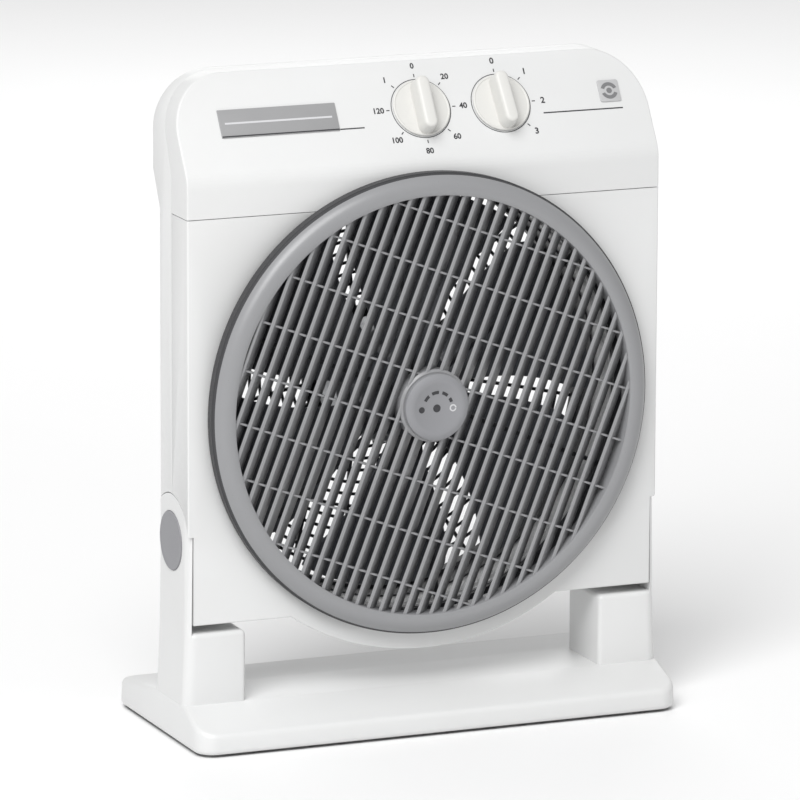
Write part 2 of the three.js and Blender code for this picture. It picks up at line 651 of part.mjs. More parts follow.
const bushOuter = PIN_RADIUS + FIT + GRILLE_BUSH_WALL;
const hubFrontY = slatFrontY - 0.5;
const hubBackY = guardFrontY - 3;

function buildLouvreGrille() {
  const skirt = openingRadius - 3;
  const innerWall = louvreRadius + 5;
  const ring = turned([
    [RING_RADIUS, ringEdgeY],
    [RING_RADIUS, ringEdgeY - 1.5],
    [RING_RADIUS - 2, ringEdgeY - RING_HEIGHT * 0.5],
    [RING_RADIUS - 6.5, ringEdgeY - RING_HEIGHT * 0.86],
    [RING_RADIUS - 11.5, crownY],
    [louvreRadius, slatFrontY - 0.6],
    [louvreRadius, ringEdgeY + 1],
    [innerWall, ringEdgeY + 1],
    [innerWall, bodyFront + 3],
    [skirt, bodyFront + 3],
    [skirt, ringEdgeY],
  ]);
  const reach = louvreRadius + 20;
  const bars = [];
  const slatCount = Math.floor(louvreRadius / SLAT_PITCH);
  const midY = slatFrontY + SLAT_DEPTH / 2;
  for (let i = -slatCount; i <= slatCount; i += 1) {
    const across = SLAT_DEPTH / Math.cos(SLAT_ANGLE);
    const slat = new THREE.BoxGeometry(SLAT_THICKNESS, across, 2 * reach);
    slat.rotateZ(-SLAT_ANGLE).translate(i * SLAT_PITCH, midY, 0);
    bars.push(solidOf(slat.rotateY(SLAT_LEAN).translate(0, 0, axisZ)));
  }
  const ribCount = Math.floor(louvreRadius / RIB_PITCH);
  for (let i = -ribCount; i < ribCount; i += 1) {
    const rib = new THREE.BoxGeometry(2 * reach, RIB_DEPTH, RIB_THICKNESS);
    rib.translate(0, slatFrontY + RIB_DEPTH / 2, (i + 0.5) * RIB_PITCH);
    bars.push(solidOf(rib.rotateY(SLAT_LEAN).translate(0, 0, axisZ)));
  }
  const inRing = tubeAboutAxis(0, louvreRadius + 2.5, slatFrontY, slatFrontY + SLAT_DEPTH, MEDIUM_ROUND);
  const field = join(...bars).intersect(inRing);
  const hub = tubeAboutAxis(0, GRILLE_HUB_RADIUS, hubFrontY, slatFrontY + SLAT_DEPTH, MEDIUM_ROUND);
  const sleeve = tubeAboutAxis(0, bushOuter + FIT + 3, hubFrontY, hubBackY, MEDIUM_ROUND);
  const bore = tubeAboutAxis(0, bushOuter + FIT, hubFrontY - 5, hubBackY + 5, MEDIUM_ROUND);
  return cut(join(ring, field, hub, sleeve), bore);
}

place(head, 'front_guard', buildFrontGuard(), 'darkPlastic');
place(head, 'louvre_grille', buildLouvreGrille(), 'grey');
place(head, 'grille_bush',
  tubeAboutAxis(PIN_RADIUS + FIT, bushOuter, pinTipY + FIT, hubBackY - FIT, MEDIUM_ROUND), 'bronze');

// Lock knob: a bevelled disc with a short nose that turns in the hub's bore.
const knobBackY = hubFrontY - 2 * FIT;
place(head, 'grille_lock_knob', turned([
  [0, knobBackY],
  [0, knobBackY - LOCK_KNOB_HEIGHT],
  [LOCK_KNOB_RADIUS - 3.5, knobBackY - LOCK_KNOB_HEIGHT],
  [LOCK_KNOB_RADIUS, knobBackY - LOCK_KNOB_HEIGHT + 2],
  [LOCK_KNOB_RADIUS, knobBackY],
], 36), 'grey');

// ---- rotor -------------------------------------------------------------------------------------

// One blade: a grid that twists from hub to tip, given an even thickness.
function bladeGeometry() {
  const steps = 4;
  const rows = [];
  for (const face of [-0.5, 0.5]) {
    for (let i = 0; i <= steps; i += 1) {
      const out = i / steps;
      const radius = ROTOR_HUB_RADIUS - 2 + (tipRadius - ROTOR_HUB_RADIUS + 2) * out;
      const sweep = BLADE_CHORD_ROOT + (BLADE_CHORD_TIP - BLADE_CHORD_ROOT) * out;
      for (let j = 0; j <= steps; j += 1) {
        const along = j / steps - 0.5;
        const angle = THREE.MathUtils.degToRad(sweep * along - 9 * out * out);
        const bow = Math.cos(Math.PI * along) * 3;
        const y = along * BLADE_AXIAL * (1 - 0.25 * out) + bow + face * BLADE_THICKNESS;
        rows.push(new THREE.Vector3(radius * Math.cos(angle), y, radius * Math.sin(angle)));
      }
    }
  }
  const wide = steps + 1;
  const at = (side, i, j) => side * wide * wide + i * wide + j;
  const index = [];
  const quad = (a, b, c, d) => index.push(a, b, c, a, c, d);
  for (let i = 0; i < steps; i += 1) {
    for (let j = 0; j < steps; j += 1) {
      quad(at(0, i, j), at(0, i + 1, j), at(0, i + 1, j + 1), at(0, i, j + 1));
      quad(at(1, i, j), at(1, i, j + 1), at(1, i + 1, j + 1), at(1, i + 1, j));
    }
    quad(at(0, i, 0), at(1, i, 0), at(1, i + 1, 0), at(0, i + 1, 0));
    quad(at(0, i, steps), at(0, i + 1, steps), at(1, i + 1, steps), at(1, i, steps));
    quad(at(0, 0, i), at(0, 0, i + 1), at(1, 0, i + 1), at(1, 0, i));
    quad(at(0, steps, i), at(1, steps, i), at(1, steps, i + 1), at(0, steps, i + 1));
  }
  const geometry = new THREE.BufferGeometry().setFromPoints(rows);
  geometry.setIndex(index);
  return geometry;
}

const hubDepth = 26;
const shaftBore = SHAFT_RADIUS + FIT;

function buildRotor() {
  const hub = turned([
    [shaftBore, rotorFrontY], [ROTOR_HUB_RADIUS - 6, rotorFrontY],
    [ROTOR_HUB_RADIUS, rotorFrontY + 5], [ROTOR_HUB_RADIUS, rotorFrontY + hubDepth],
    [ROTOR_HUB_RADIUS - 3, rotorFrontY + hubDepth], [ROTOR_HUB_RADIUS - 3, rotorFrontY + 7],
    [10, rotorFrontY + 4], [10, rotorFrontY + hubDepth - 4], [shaftBore, rotorFrontY + hubDepth - 4],
  ], 30);
  const hollow = tubeAboutAxis(0, ROTOR_HUB_RADIUS - 3, rotorFrontY + 8, far, 30);
  const midY = rotorFrontY + hubDepth / 2;
  const blades = [];
  for (let i = 0; i < BLADE_COUNT; i += 1) {
    const turn = (i / BLADE_COUNT) * 2 * Math.PI + ROTOR_TURN;
    const blade = bladeGeometry().rotateY(-turn).translate(0, midY, axisZ);
    blades.push(solidOf(blade).subtract(hollow));
  }
  return join(hub, ...blades);
}

const shaftTipY = rotorFrontY - 4.5;
const rearBearingY = motorBackY - 2;
place(head, 'rotor', buildRotor(), 'blade');
place(head, 'rotor_nut', turned([
  [0, shaftTipY - 1.5], [9, shaftTipY - 1.5], [11, shaftTipY + 0.5], [11, rotorFrontY - FIT],
  [shaftBore, rotorFrontY - FIT], [shaftBore, shaftTipY - FIT], [0, shaftTipY - FIT],
], 24), 'darkPlastic');
place(head, 'motor_shaft',
  tubeAboutAxis(0, SHAFT_RADIUS, shaftTipY, rearBearingY + BEARING_LENGTH, MEDIUM_ROUND), 'steel');

// ---- motor -------------------------------------------------------------------------------------

// Bearing shields: a cup with a nose for the bearing. towards is -1 for the front one.
const motorMidY = (motorFrontY + motorBackY) / 2;
const MOTOR_SKIN = 1.7;
const screwCircle = MOTOR_RADIUS - 9;
const motorScrewSpots = lugAngles.map(
  (a) => [screwCircle * Math.cos(a), axisZ + screwCircle * Math.sin(a)]);

function shield(faceY, towards) {
  const inside = faceY - towards * MOTOR_PLATE;
  const noseY = faceY + towards * 5;
  const seat = BEARING_RADIUS + FIT;
  return turned([
    [seat, noseY], [seat + 3, noseY], [seat + 3, faceY], [MOTOR_RADIUS - 3, faceY],
    [MOTOR_RADIUS, faceY - towards * 3], [MOTOR_RADIUS, motorMidY + towards * FIT / 2],
    [MOTOR_RADIUS - MOTOR_SKIN, motorMidY + towards * FIT / 2],
    [MOTOR_RADIUS - MOTOR_SKIN, inside - towards * 1], [MOTOR_RADIUS - MOTOR_SKIN - 1, inside],
    [seat, inside],
  ], MEDIUM_ROUND);
}

const bearing = (y0) => tubeAboutAxis(shaftBore, BEARING_RADIUS, y0, y0 + BEARING_LENGTH, MEDIUM_ROUND);
const coreRadius = MOTOR_RADIUS - MOTOR_SKIN - FIT;
const coreFrontY = motorFrontY + 10;
const coreBackY = motorBackY - 10;
const coilInner = ARMATURE_RADIUS + 2.5;
const coilOuter = coreRadius - 3;

place(head, 'motor_front_shield', shield(motorFrontY, -1), 'zinc');
place(head, 'motor_rear_shield', cut(shield(motorBackY, 1),
  ...motorScrewSpots.map(([x, z]) => screwBore(x, z, motorMidY))), 'zinc');
place(head, 'bearing_front', bearing(motorFrontY - 5), 'bronze');
place(head, 'bearing_rear', bearing(motorBackY - 3), 'bronze');
place(head, 'stator_core',
  tubeAboutAxis(ARMATURE_RADIUS + 0.6, coreRadius, coreFrontY, coreBackY, MEDIUM_ROUND), 'lamination');
place(head, 'stator_coil_front',
  tubeAboutAxis(coilInner, coilOuter, coreFrontY - 5, coreFrontY - FIT, MEDIUM_ROUND), 'copper');
place(head, 'stator_coil_rear',
  tubeAboutAxis(coilInner, coilOuter - 4, coreBackY + FIT, coreBackY + 4, MEDIUM_ROUND), 'copper');
place(head, 'armature',
  tubeAboutAxis(shaftBore, ARMATURE_RADIUS, coreFrontY, coreBackY, MEDIUM_ROUND), 'lamination');

// ---- rear grille -------------------------------------------------------------------------------

// Side view of one spoke, from the rim to the plate behind the motor, as [radius, y].
const rimBackY = drumBack + 3;
const domeLine = (radius) => {
  const out = (radius - GRILLE_PLATE_RADIUS) / (drumRadius - 3 - GRILLE_PLATE_RADIUS);
  return rimBackY + (domeBack - rimBackY) * (1 - Math.max(0, out) ** 2.2);
};

function spokeGeometry() {
  const outer = drumRadius - 3;
  const stations = [0, 0.35, 0.62, 0.84, 1].map(
    (t) => GRILLE_PLATE_RADIUS - 3 + (outer - GRILLE_PLATE_RADIUS + 3) * t);
  const back = stations.map((r) => new THREE.Vector2(r, domeLine(r)));
  const front = stations.map((r) => new THREE.Vector2(r, domeLine(r) - GRILLE_BAR_HEIGHT));
  const shape = new THREE.Shape([...back, ...front.reverse()]);
  const geometry = new THREE.ExtrudeGeometry(shape, { depth: GRILLE_BAR, bevelEnabled: false });
  return geometry.translate(0, 0, -GRILLE_BAR / 2);
}

function buildRearGrille() {
  const plate = tubeAboutAxis(0, GRILLE_PLATE_RADIUS, domeBack - GRILLE_BAR_HEIGHT, domeBack, MEDIUM_ROUND);
  const rim = turned([
    [drumRadius - 4, drumBack - 6], [drumRadius - FIT, drumBack - 6], [drumRadius - FIT, drumBack + FIT],
    [drumRadius + WALL, drumBack + FIT], [drumRadius + WALL, rimBackY], [drumRadius - 4, rimBackY],
  ], ROUND);
  const lugs = lugSpots.map(([x, z]) => rodY(x, z, BOSS_RADIUS + 2, drumBack + FIT, rimBackY));
  const rings = [];
  const step = (drumRadius - 4 - GRILLE_PLATE_RADIUS) / (GRILLE_RING_COUNT + 1);
  for (let i = 1; i <= GRILLE_RING_COUNT; i += 1) {
    const radius = GRILLE_PLATE_RADIUS + i * step;
    const backY = domeLine(radius) - 0.4;
    rings.push(tubeAboutAxis(
      radius - GRILLE_BAR / 2, radius + GRILLE_BAR / 2, backY - GRILLE_BAR_HEIGHT + 0.8, backY, MEDIUM_ROUND));
  }
  const spokes = [];
  for (let i = 0; i < GRILLE_SPOKE_COUNT; i += 1) {
    const turn = ((i + 0.25) / GRILLE_SPOKE_COUNT) * 2 * Math.PI;
    spokes.push(solidOf(spokeGeometry().rotateY(turn).translate(0, 0, axisZ)));
  }
  const posts = motorScrewSpots.map(
    ([x, z]) => rodY(x, z, 4.5, motorBackY + FIT, domeBack - GRILLE_BAR_HEIGHT / 2));
  const clear = [...lugSpots, ...motorScrewSpots].map(
    ([x, z]) => screwBore(x, z, -far));
  return cut(join(plate, rim, ...lugs, ...rings, ...spokes, ...posts), ...clear);
}

place(head, 'rear_grille', buildRearGrille(), 'darkPlastic');
lugSpots.forEach(([x, z], i) => {
  place(head, `grille_screw_${i + 1}`, screwY(x, z, drumBack - 15, rimBackY + FIT), 'steel');
});
motorScrewSpots.forEach(([x, z], i) => {
  place(head, `motor_screw_${i + 1}`, screwY(x, z, motorBackY - MOTOR_PLATE - 1, domeBack + FIT), 'steel');
});

// ---- controls ----------------------------------------------------------------------------------

// A control is drawn upright with the panel's face at y = 0, then set on the slope.
function placeOnPanel(name, geometry, x, finish) {
  const mesh = new THREE.Mesh(geometry, new THREE.MeshStandardMaterial(FINISHES[finish]));
  mesh.name = name;
  mesh.position.setFromMatrixPosition(panelPlace(x, KNOB_UP));
  mesh.rotation.x = -PANEL_LEAN;
  head.add(mesh);
}

const rod = (radius, y0, y1, sides) => rodY(0, 0, radius, y0, y1, sides);
const discBackY = -KNOB_GAP;
const discFrontY = discBackY - KNOB_DISC;
const gripFrontY = discFrontY - KNOB_GRIP_HEIGHT;
const bodyFaceY = WALL + FIT;

// A knob is a flat disc with a raised bar across it.
function knobGeometry(turn) {
  const half = KNOB_RADIUS - 1;
  const bar = new THREE.Shape();
  bar.moveTo(-KNOB_GRIP_WIDTH / 2, -half + 4);
  bar.quadraticCurveTo(-KNOB_GRIP_WIDTH / 2, -half, 0, -half);
  bar.quadraticCurveTo(KNOB_GRIP_WIDTH / 2, -half, KNOB_GRIP_WIDTH / 2, -half + 4);
  bar.lineTo(KNOB_GRIP_WIDTH / 2, half - 4);
  bar.quadraticCurveTo(KNOB_GRIP_WIDTH / 2, half, 0, half);
  bar.quadraticCurveTo(-KNOB_GRIP_WIDTH / 2, half, -KNOB_GRIP_WIDTH / 2, half - 4);
  const grip = frontPrism(bar, gripFrontY, discFrontY + 0.5, { curveSegments: 5 });
  const disc = rod(KNOB_RADIUS, discFrontY, discBackY, 36);
  const bore = rod(SPINDLE_RADIUS + FIT, gripFrontY + 3, 1, SMALL_ROUND);
  return geometryOf(cut(join(disc, grip), bore)).rotateY(turn);
}

const spindle = (depth) => geometryOf(rod(SPINDLE_RADIUS, gripFrontY + 3 + FIT, depth, SMALL_ROUND));
const spindleEnd = bodyFaceY + 12;
const shaftWell = rod(SPINDLE_RADIUS + FIT, -5, spindleEnd + FIT, SMALL_ROUND);
const timerBody = cut(rod(TIMER_RADIUS, bodyFaceY, bodyFaceY + TIMER_DEPTH, MEDIUM_ROUND), shaftWell);
const switchHalf = SWITCH_SIZE / 2;
const switchBody = cut(
  block(-switchHalf, switchHalf, bodyFaceY, bodyFaceY + SWITCH_DEPTH, -switchHalf, switchHalf),
  shaftWell);

placeOnPanel('timer_mechanism', geometryOf(timerBody), TIMER_X, 'brown');
placeOnPanel('timer_spindle', spindle(spindleEnd), TIMER_X, 'steel');
placeOnPanel('timer_knob', knobGeometry(0), TIMER_X, 'cream');
placeOnPanel('speed_switch', geometryOf(switchBody), SPEED_X, 'brown');
placeOnPanel('speed_spindle', spindle(spindleEnd), SPEED_X, 'steel');
placeOnPanel('speed_knob', knobGeometry(0), SPEED_X, 'cream');

function panelPlate({ left, right, low, high }) {
  return panelBlock((left + right) / 2, (low + high) / 2, right - left,
    -FIT - PLATE_THICKNESS, -FIT, high - low);
}
place(head, 'name_plate', panelPlate(NAME_PLATE), 'plateGrey');
place(head, 'mark_plate', panelPlate(MARK_PLATE), 'plateGrey');

const capacitorBackY = headBack - WALL - FIT;
place(head, 'run_capacitor', block(
  CAPACITOR.left, CAPACITOR.left + CAPACITOR.width,
  capacitorBackY - CAPACITOR.depth, capacitorBackY,
  bodyTop - 60, bodyTop - 60 + CAPACITOR.height), 'white');

// The motor's lead climbs behind the rotor, enters the head through the drum and ends at the switch.
const leadEnd = new THREE.Vector3(0, bodyFaceY + SWITCH_DEPTH + FIT, 0)
  .applyMatrix4(panelPlace(SPEED_X, KNOB_UP));
const leadRoute = new THREE.CatmullRomCurve3([
  new THREE.Vector3(0, motorMidY, axisZ + MOTOR_RADIUS + FIT),
  new THREE.Vector3(0, motorMidY, axisZ + MOTOR_RADIUS + 20),
  new THREE.Vector3(0, motorMidY - 4, axisZ + (MOTOR_RADIUS + drumRadius) / 2),
  new THREE.Vector3(0, bodyBack + 17, axisZ + drumRadius - 16),
  new THREE.Vector3(0, bodyBack + 10, axisZ + drumRadius - 6.5), // between blade tips and drum
  new THREE.Vector3(0, leadNotchY, axisZ + drumRadius - 2),
  new THREE.Vector3(0, leadInsideY, axisZ + drumRadius + 7),
  new THREE.Vector3(SPEED_X / 2, leadInsideY, axisZ + drumRadius + 19),
  new THREE.Vector3(leadEnd.x, leadEnd.y + 8 * Math.cos(PANEL_LEAN), leadEnd.z - 8 * Math.sin(PANEL_LEAN)),
  leadEnd,
]);
const leadSection = new THREE.Shape();
leadSection.absarc(0, 0, LEAD_RADIUS, 0, 2 * Math.PI, false);
place(head, 'motor_lead', solidOf(new THREE.ExtrudeGeometry(leadSection, {
  steps: 26, extrudePath: leadRoute, curveSegments: 4 })), 'rubber');

export default fan;
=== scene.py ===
"""Box fan with a revolving louvre grille, for Blender 4.5: the looks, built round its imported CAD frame."""
from math import asin, cos, degrees, pi, radians, sin, sqrt, tan

import bpy
from mathutils import Euler, Matrix, Vector


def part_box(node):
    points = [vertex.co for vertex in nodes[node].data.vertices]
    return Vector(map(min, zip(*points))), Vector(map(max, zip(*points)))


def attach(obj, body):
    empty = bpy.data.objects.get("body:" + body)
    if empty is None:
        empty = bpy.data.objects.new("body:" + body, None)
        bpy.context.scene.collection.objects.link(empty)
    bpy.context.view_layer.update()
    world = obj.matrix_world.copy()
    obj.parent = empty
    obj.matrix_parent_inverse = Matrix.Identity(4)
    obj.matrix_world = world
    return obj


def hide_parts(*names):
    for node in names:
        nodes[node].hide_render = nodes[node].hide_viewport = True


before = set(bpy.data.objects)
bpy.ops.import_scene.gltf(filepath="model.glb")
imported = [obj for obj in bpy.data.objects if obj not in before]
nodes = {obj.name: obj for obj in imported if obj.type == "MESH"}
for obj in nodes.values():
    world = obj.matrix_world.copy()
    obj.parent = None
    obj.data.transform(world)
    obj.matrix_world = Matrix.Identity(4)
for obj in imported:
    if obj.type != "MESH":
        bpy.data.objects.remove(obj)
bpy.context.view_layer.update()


# ---- Studio --------------------------------------------------------------------------------------
# A pale floor, a soft key light from the upper left front with two wide lights beside it, and a long lens
# that looks at the fan's left front from a little above it, aimed beside the middle of the grille.

VIEW_TURN = radians(-22.604)
VIEW_RISE = radians(12.183)
VIEW_ROLL = radians(0.209)
VIEW_DISTANCE = 4.946
LENS = 316.9
AIM = Vector((-0.01637, -0.04201, 0.23416))

view_back = Vector((sin(VIEW_TURN) * cos(VIEW_RISE), -cos(VIEW_TURN) * cos(VIEW_RISE), sin(VIEW_RISE)))
camera = bpy.data.objects.new("camera", bpy.data.cameras.new("camera"))
bpy.context.scene.collection.objects.link(camera)
camera.data.lens = LENS
camera.data.clip_end = 50
camera.rotation_mode = "QUATERNION"
camera.location = AIM + view_back * VIEW_DISTANCE
camera.rotation_quaternion = (-view_back).to_track_quat("-Z", "Y") @ Euler((0, 0, VIEW_ROLL)).to_quaternion()
bpy.context.scene.camera = camera


class Wire:
    """A material's socket that adds Math nodes where it is used in arithmetic."""

    def __init__(self, tree, socket):
        self.tree = tree
        self.socket = socket

    def node(self, kind, settings=(), sockets=(), out=0):
        """Adds a node: its settings first, then the values or links of its input sockets."""
        made = self.tree.nodes.new(kind)
        for key, value in dict(settings).items():
            if key == "stops":
                while len(made.color_ramp.elements) < len(value):
                    made.color_ramp.elements.new(0.5)
                for stop, (place, grey) in zip(made.color_ramp.elements, value):
                    stop.position = place
                    stop.color = (grey, grey, grey, 1)
            else:
                setattr(made, key, value)
        for key, value in dict(sockets).items():
            if isinstance(value, Wire):
                self.tree.links.new(value.socket, made.inputs[key])
            else:
                made.inputs[key].default_value = value
        return Wire(self.tree, made.outputs[out])

    def maths(self, operation, *values):
        return self.node("ShaderNodeMath", {"operation": operation}, enumerate(values))

    def __add__(self, other):
        return self.maths("ADD", self, other)

    def __radd__(self, other):
        return self.maths("ADD", other, self)

    def __sub__(self, other):
        return self.maths("SUBTRACT", self, other)

    def __rsub__(self, other):
        return self.maths("SUBTRACT", other, self)

    def __mul__(self, other):
        return self.maths("MULTIPLY", self, other)

    def __rmul__(self, other):
        return self.maths("MULTIPLY", other, self)


def start_material(name, **constants):
    """A new material: its object coordinates as a wire, and a call that links the shader's sockets."""
    material = bpy.data.materials.new(name)
    material.use_nodes = True
    tree = material.node_tree
    shader = tree.nodes["Principled BSDF"]
    for socket, value in constants.items():
        shader.inputs[socket.replace("_", " ")].default_value = value
    place = Wire(tree, tree.nodes.new("ShaderNodeTexCoord").outputs["Object"])

    def feed(**wires):
        for socket, wire in wires.items():
            tree.links.new(wire.socket, shader.inputs[socket.replace("_", " ")])
        return material

    return place, feed


def noise(place, scale, detail=3.0, roughness=0.55):
    settings = {"noise_dimensions": "3D"}
    return place.node("ShaderNodeTexNoise", settings,
                      {"Vector": place, "Scale": scale, "Detail": detail, "Roughness": roughness}, "Fac")


def blend_colours(factor, first, second):
    """Mixes two colours; a colour is a tuple of three, in linear light, or a wire."""
    sides = [side if isinstance(side, Wire) else (*side, 1) for side in (first, second)]
    return factor.node("ShaderNodeMix", {"data_type": "RGBA"}, {0: factor, 6: sides[0], 7: sides[1]}, 2)


def bump(height, strength, distance):
    return height.node("ShaderNodeBump", {}, {"Height": height, "Strength": strength, "Distance": distance})


def moulded_plastic(name, pale, shade, roughness, grain=900.0, depth=0.00004):
    """Injection-moulded plastic: a spark-eroded grain, faint flow marks and slightly uneven gloss."""
    place, feed = start_material(name, IOR=1.5)
    flow = noise(place, 9.0, 4.0)
    dust = noise(place, 60.0, 5.0, 0.65)
    fine = noise(place, grain, 2.0)
    ramp = flow.node("ShaderNodeValToRGB", {"stops": ((0.35, 0.0), (0.7, 1.0))}, {"Fac": flow})
    tint = ramp * 0.65 + dust * 0.35
    return feed(
        Base_Color=blend_colours(tint, pale, shade),
        Roughness=roughness + (fine - 0.5) * 0.12 + (flow - 0.5) * 0.06,
        Normal=bump(fine, 0.35, depth))


def select_only(*pieces):
    bpy.ops.object.select_all(action="DESELECT")
    for piece in pieces:
        piece.select_set(True)
    bpy.context.view_layer.objects.active = pieces[0]


def settle(name):
    """Names the new primitive and moves its place into its mesh."""
    piece = bpy.context.object
    piece.name = piece.data.name = name
    select_only(piece)
    bpy.ops.object.transform_apply(location=True, rotation=True, scale=True)
    return piece


def finish_piece(piece, material, body, slot, *replaced, smooth=30):
    """Smooths a piece, gives it its finish and hands it to its body."""
    select_only(piece)
    bpy.ops.object.shade_smooth_by_angle(angle=radians(smooth))
    piece.data.materials.clear()
    piece.data.materials.append(material)
    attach(piece, body)
    if replaced:
        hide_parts(*replaced)
    return piece


def middle_of(node):
    """The middle of a CAD node's box."""
    low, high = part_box(node)
    return (low + high) / 2


FLOOR_WIDTH = 14
FLOOR_PALE, FLOOR_SHADE = (0.93, 0.93, 0.93), (0.9, 0.9, 0.9)
bpy.ops.object.select_all(action="DESELECT")
bpy.ops.mesh.primitive_plane_add(size=FLOOR_WIDTH, location=(0, 3, -0.0004))
floor = settle("floor")
floor_place, feed_floor = start_material("pale_floor", Roughness=0.75)
floor_mist = noise(floor_place, 2.0)
floor.data.materials.append(feed_floor(Base_Color=blend_colours(floor_mist, FLOOR_PALE, FLOOR_SHADE)))

world = bpy.data.worlds.new("studio")
bpy.context.scene.world = world
world.use_nodes = True
SKY_STRENGTH = 0.45
sky = world.node_tree.nodes["Background"]
sky.inputs["Color"].default_value = (1, 1, 1, 1)
sky.inputs["Strength"].default_value = SKY_STRENGTH
bpy.context.scene.view_settings.view_transform = "Standard"

key = bpy.data.objects.new("key_light", bpy.data.lights.new("key_light", "SUN"))
bpy.context.scene.collection.objects.link(key)
KEY_STRENGTH, KEY_SOFTNESS, KEY_AIM = 1.75, radians(34), Vector((0.36, 0.52, -0.84))
key.data.energy = KEY_STRENGTH
key.data.angle = KEY_SOFTNESS
key.rotation_euler = KEY_AIM.to_track_quat("-Z", "Y").to_euler()

# name, place, aimed at, width, power
SOFT_LIGHTS = (
    ("left_light", (-1.1, -1.15, 1.3), (0, 0, 0.33), 0.8, 11),
    ("back_light", (0.9, 2.4, 1.6), (0, 0, 0.25), 1.6, 12),
)
for light_name, light_place, light_aim, light_width, light_power in SOFT_LIGHTS:
    light = bpy.data.objects.new(light_name, bpy.data.lights.new(light_name, "AREA"))
    bpy.context.scene.collection.objects.link(light)
    light.data.size = light_width
    light.data.energy = light_power
    light.location = light_place
    light_path = Vector(light_aim) - Vector(light_place)
    light.rotation_euler = light_path.to_track_quat("-Z", "Y").to_euler()


# ---- Stand ---------------------------------------------------------------------------------------
# One white moulding: a wedge-shaped base, open underneath, with two arms. Each arm is a block that ends
# under the body, and a thin outer plate that rises to the pivot and is flush with the body's side.

HOUSING_WHITE = (0.715, 0.72, 0.72)
HOUSING_SHADE = (0.69, 0.692, 0.688)
white_plastic = moulded_plastic("white_plastic", HOUSING_WHITE, HOUSING_SHADE, 0.36)

stand_low, stand_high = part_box("stand")
front_low, front_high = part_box("front_housing")
panel_low, panel_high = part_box("control_panel")
rear_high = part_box("rear_housing")[1]
pivot_y, pivot_z = middle_of("pivot_cap_right").yz
body_half = front_high.x
body_front = front_low.y
BODY_DEPTH = 0.054
body_back = body_front + BODY_DEPTH
BASE_LIP = 0.016
BASE_RISE = 0.0295
BASE_BACK_EDGE = 0.0195
BASE_CORNER = 0.015
ARM_WIDTH = 0.0432
ARM_HEIGHT = 0.0804
ARM_PLATE = 0.0038
LOBE_RADIUS = 0.0334
BODY_EDGE = 0.008
STAND_EDGE, ARM_EDGE, PLATE_EDGE = 0.0035, 0.0032, 0.0008
FLARE, FLARE_HEIGHT = 0.0042, 0.1  # how far the foot of each arm spreads, and from what height down
SHELL_WALL, SHELL_DEPTH = 0.003, 0.0105
ARM_FOOT = 0.014  # where the arms start, inside the base
SEAT_RADIUS, SEAT_DEPTH = 0.0213, 0.0024  # each pivot cap's seat
BUSH_RADIUS = 0.0089
BOSS_RADIUS, BOSS_HEIGHT, BOSS_MIDDLE = 0.0102, 0.009, 0.0085  # the bosses that hold the foot pads


def add_block(name, low, high):
    low, high = Vector(low), Vector(high)
    bpy.ops.object.select_all(action="DESELECT")
    bpy.ops.mesh.primitive_cube_add(size=1, location=(low + high) / 2, scale=high - low)
    return settle(name)


AXIS_TURNS = {"X": (0, pi / 2, 0), "Y": (pi / 2, 0, 0), "Z": (0, 0, 0)}


def add_rod(name, centre, radius, length, axis, sides=96):
    bpy.ops.object.select_all(action="DESELECT")
    bpy.ops.mesh.primitive_cylinder_add(
        vertices=sides, radius=radius, depth=length, location=centre, rotation=AXIS_TURNS[axis])
    return settle(name)


def combine(piece, tool, operation):
    """Applies a boolean with a tool and uses the tool up."""
    select_only(piece)
    change = piece.modifiers.new(operation.lower(), "BOOLEAN")
    change.operation, change.object, change.solver = operation, tool, "EXACT"
    bpy.ops.object.modifier_apply(modifier=change.name)
    bpy.data.objects.remove(tool)
    return piece


def select_edges(piece, rule):
    """Opens the piece in edit mode with the edges selected whose two ends pass the rule."""
    select_only(piece)
    bpy.ops.object.mode_set(mode="EDIT")
    bpy.ops.mesh.select_mode(type="EDGE")
    bpy.ops.mesh.select_all(action="DESELECT")
    bpy.ops.object.mode_set(mode="OBJECT")
    points = [vertex.co for vertex in piece.data.vertices]
    for edge in piece.data.edges:
        edge.select = bool(rule(points[edge.vertices[0]], points[edge.vertices[1]]))
    bpy.ops.object.mode_set(mode="EDIT")


def select_faces(piece, rule):
    """Opens the piece in edit mode with the faces selected whose centre and normal pass the rule."""
    select_only(piece)
    bpy.ops.object.mode_set(mode="EDIT")
    bpy.ops.mesh.select_mode(type="FACE")
    bpy.ops.mesh.select_all(action="DESELECT")
    bpy.ops.object.mode_set(mode="OBJECT")
    for face in piece.data.polygons:
        face.select = bool(rule(face.center, face.normal))
    bpy.ops.object.mode_set(mode="EDIT")


def round_selected(width, segments):
    bpy.ops.mesh.bevel(offset=width, segments=segments, affect="EDGES")
    bpy.ops.object.mode_set(mode="OBJECT")


def slice_loop(piece, place, normal):
    """Adds a loop of edges where a plane crosses the piece."""
    select_only(piece)
    bpy.ops.object.mode_set(mode="EDIT")
    bpy.ops.mesh.select_all(action="SELECT")
    bpy.ops.mesh.bisect(plane_co=place, plane_no=normal)
    bpy.ops.object.mode_set(mode="OBJECT")


def soften(piece, width, segments=2, angle=35):
    """Rounds every edge sharper than the angle."""
    select_only(piece)
    change = piece.modifiers.new("soften", "BEVEL")
    change.width, change.segments = width, segments
    change.limit_method, change.angle_limit = "ANGLE", radians(angle)
    bpy.ops.object.modifier_apply(modifier=change.name)
    return piece


NEAR = 1e-5


def near(a, b):
    return abs(a - b) < NEAR


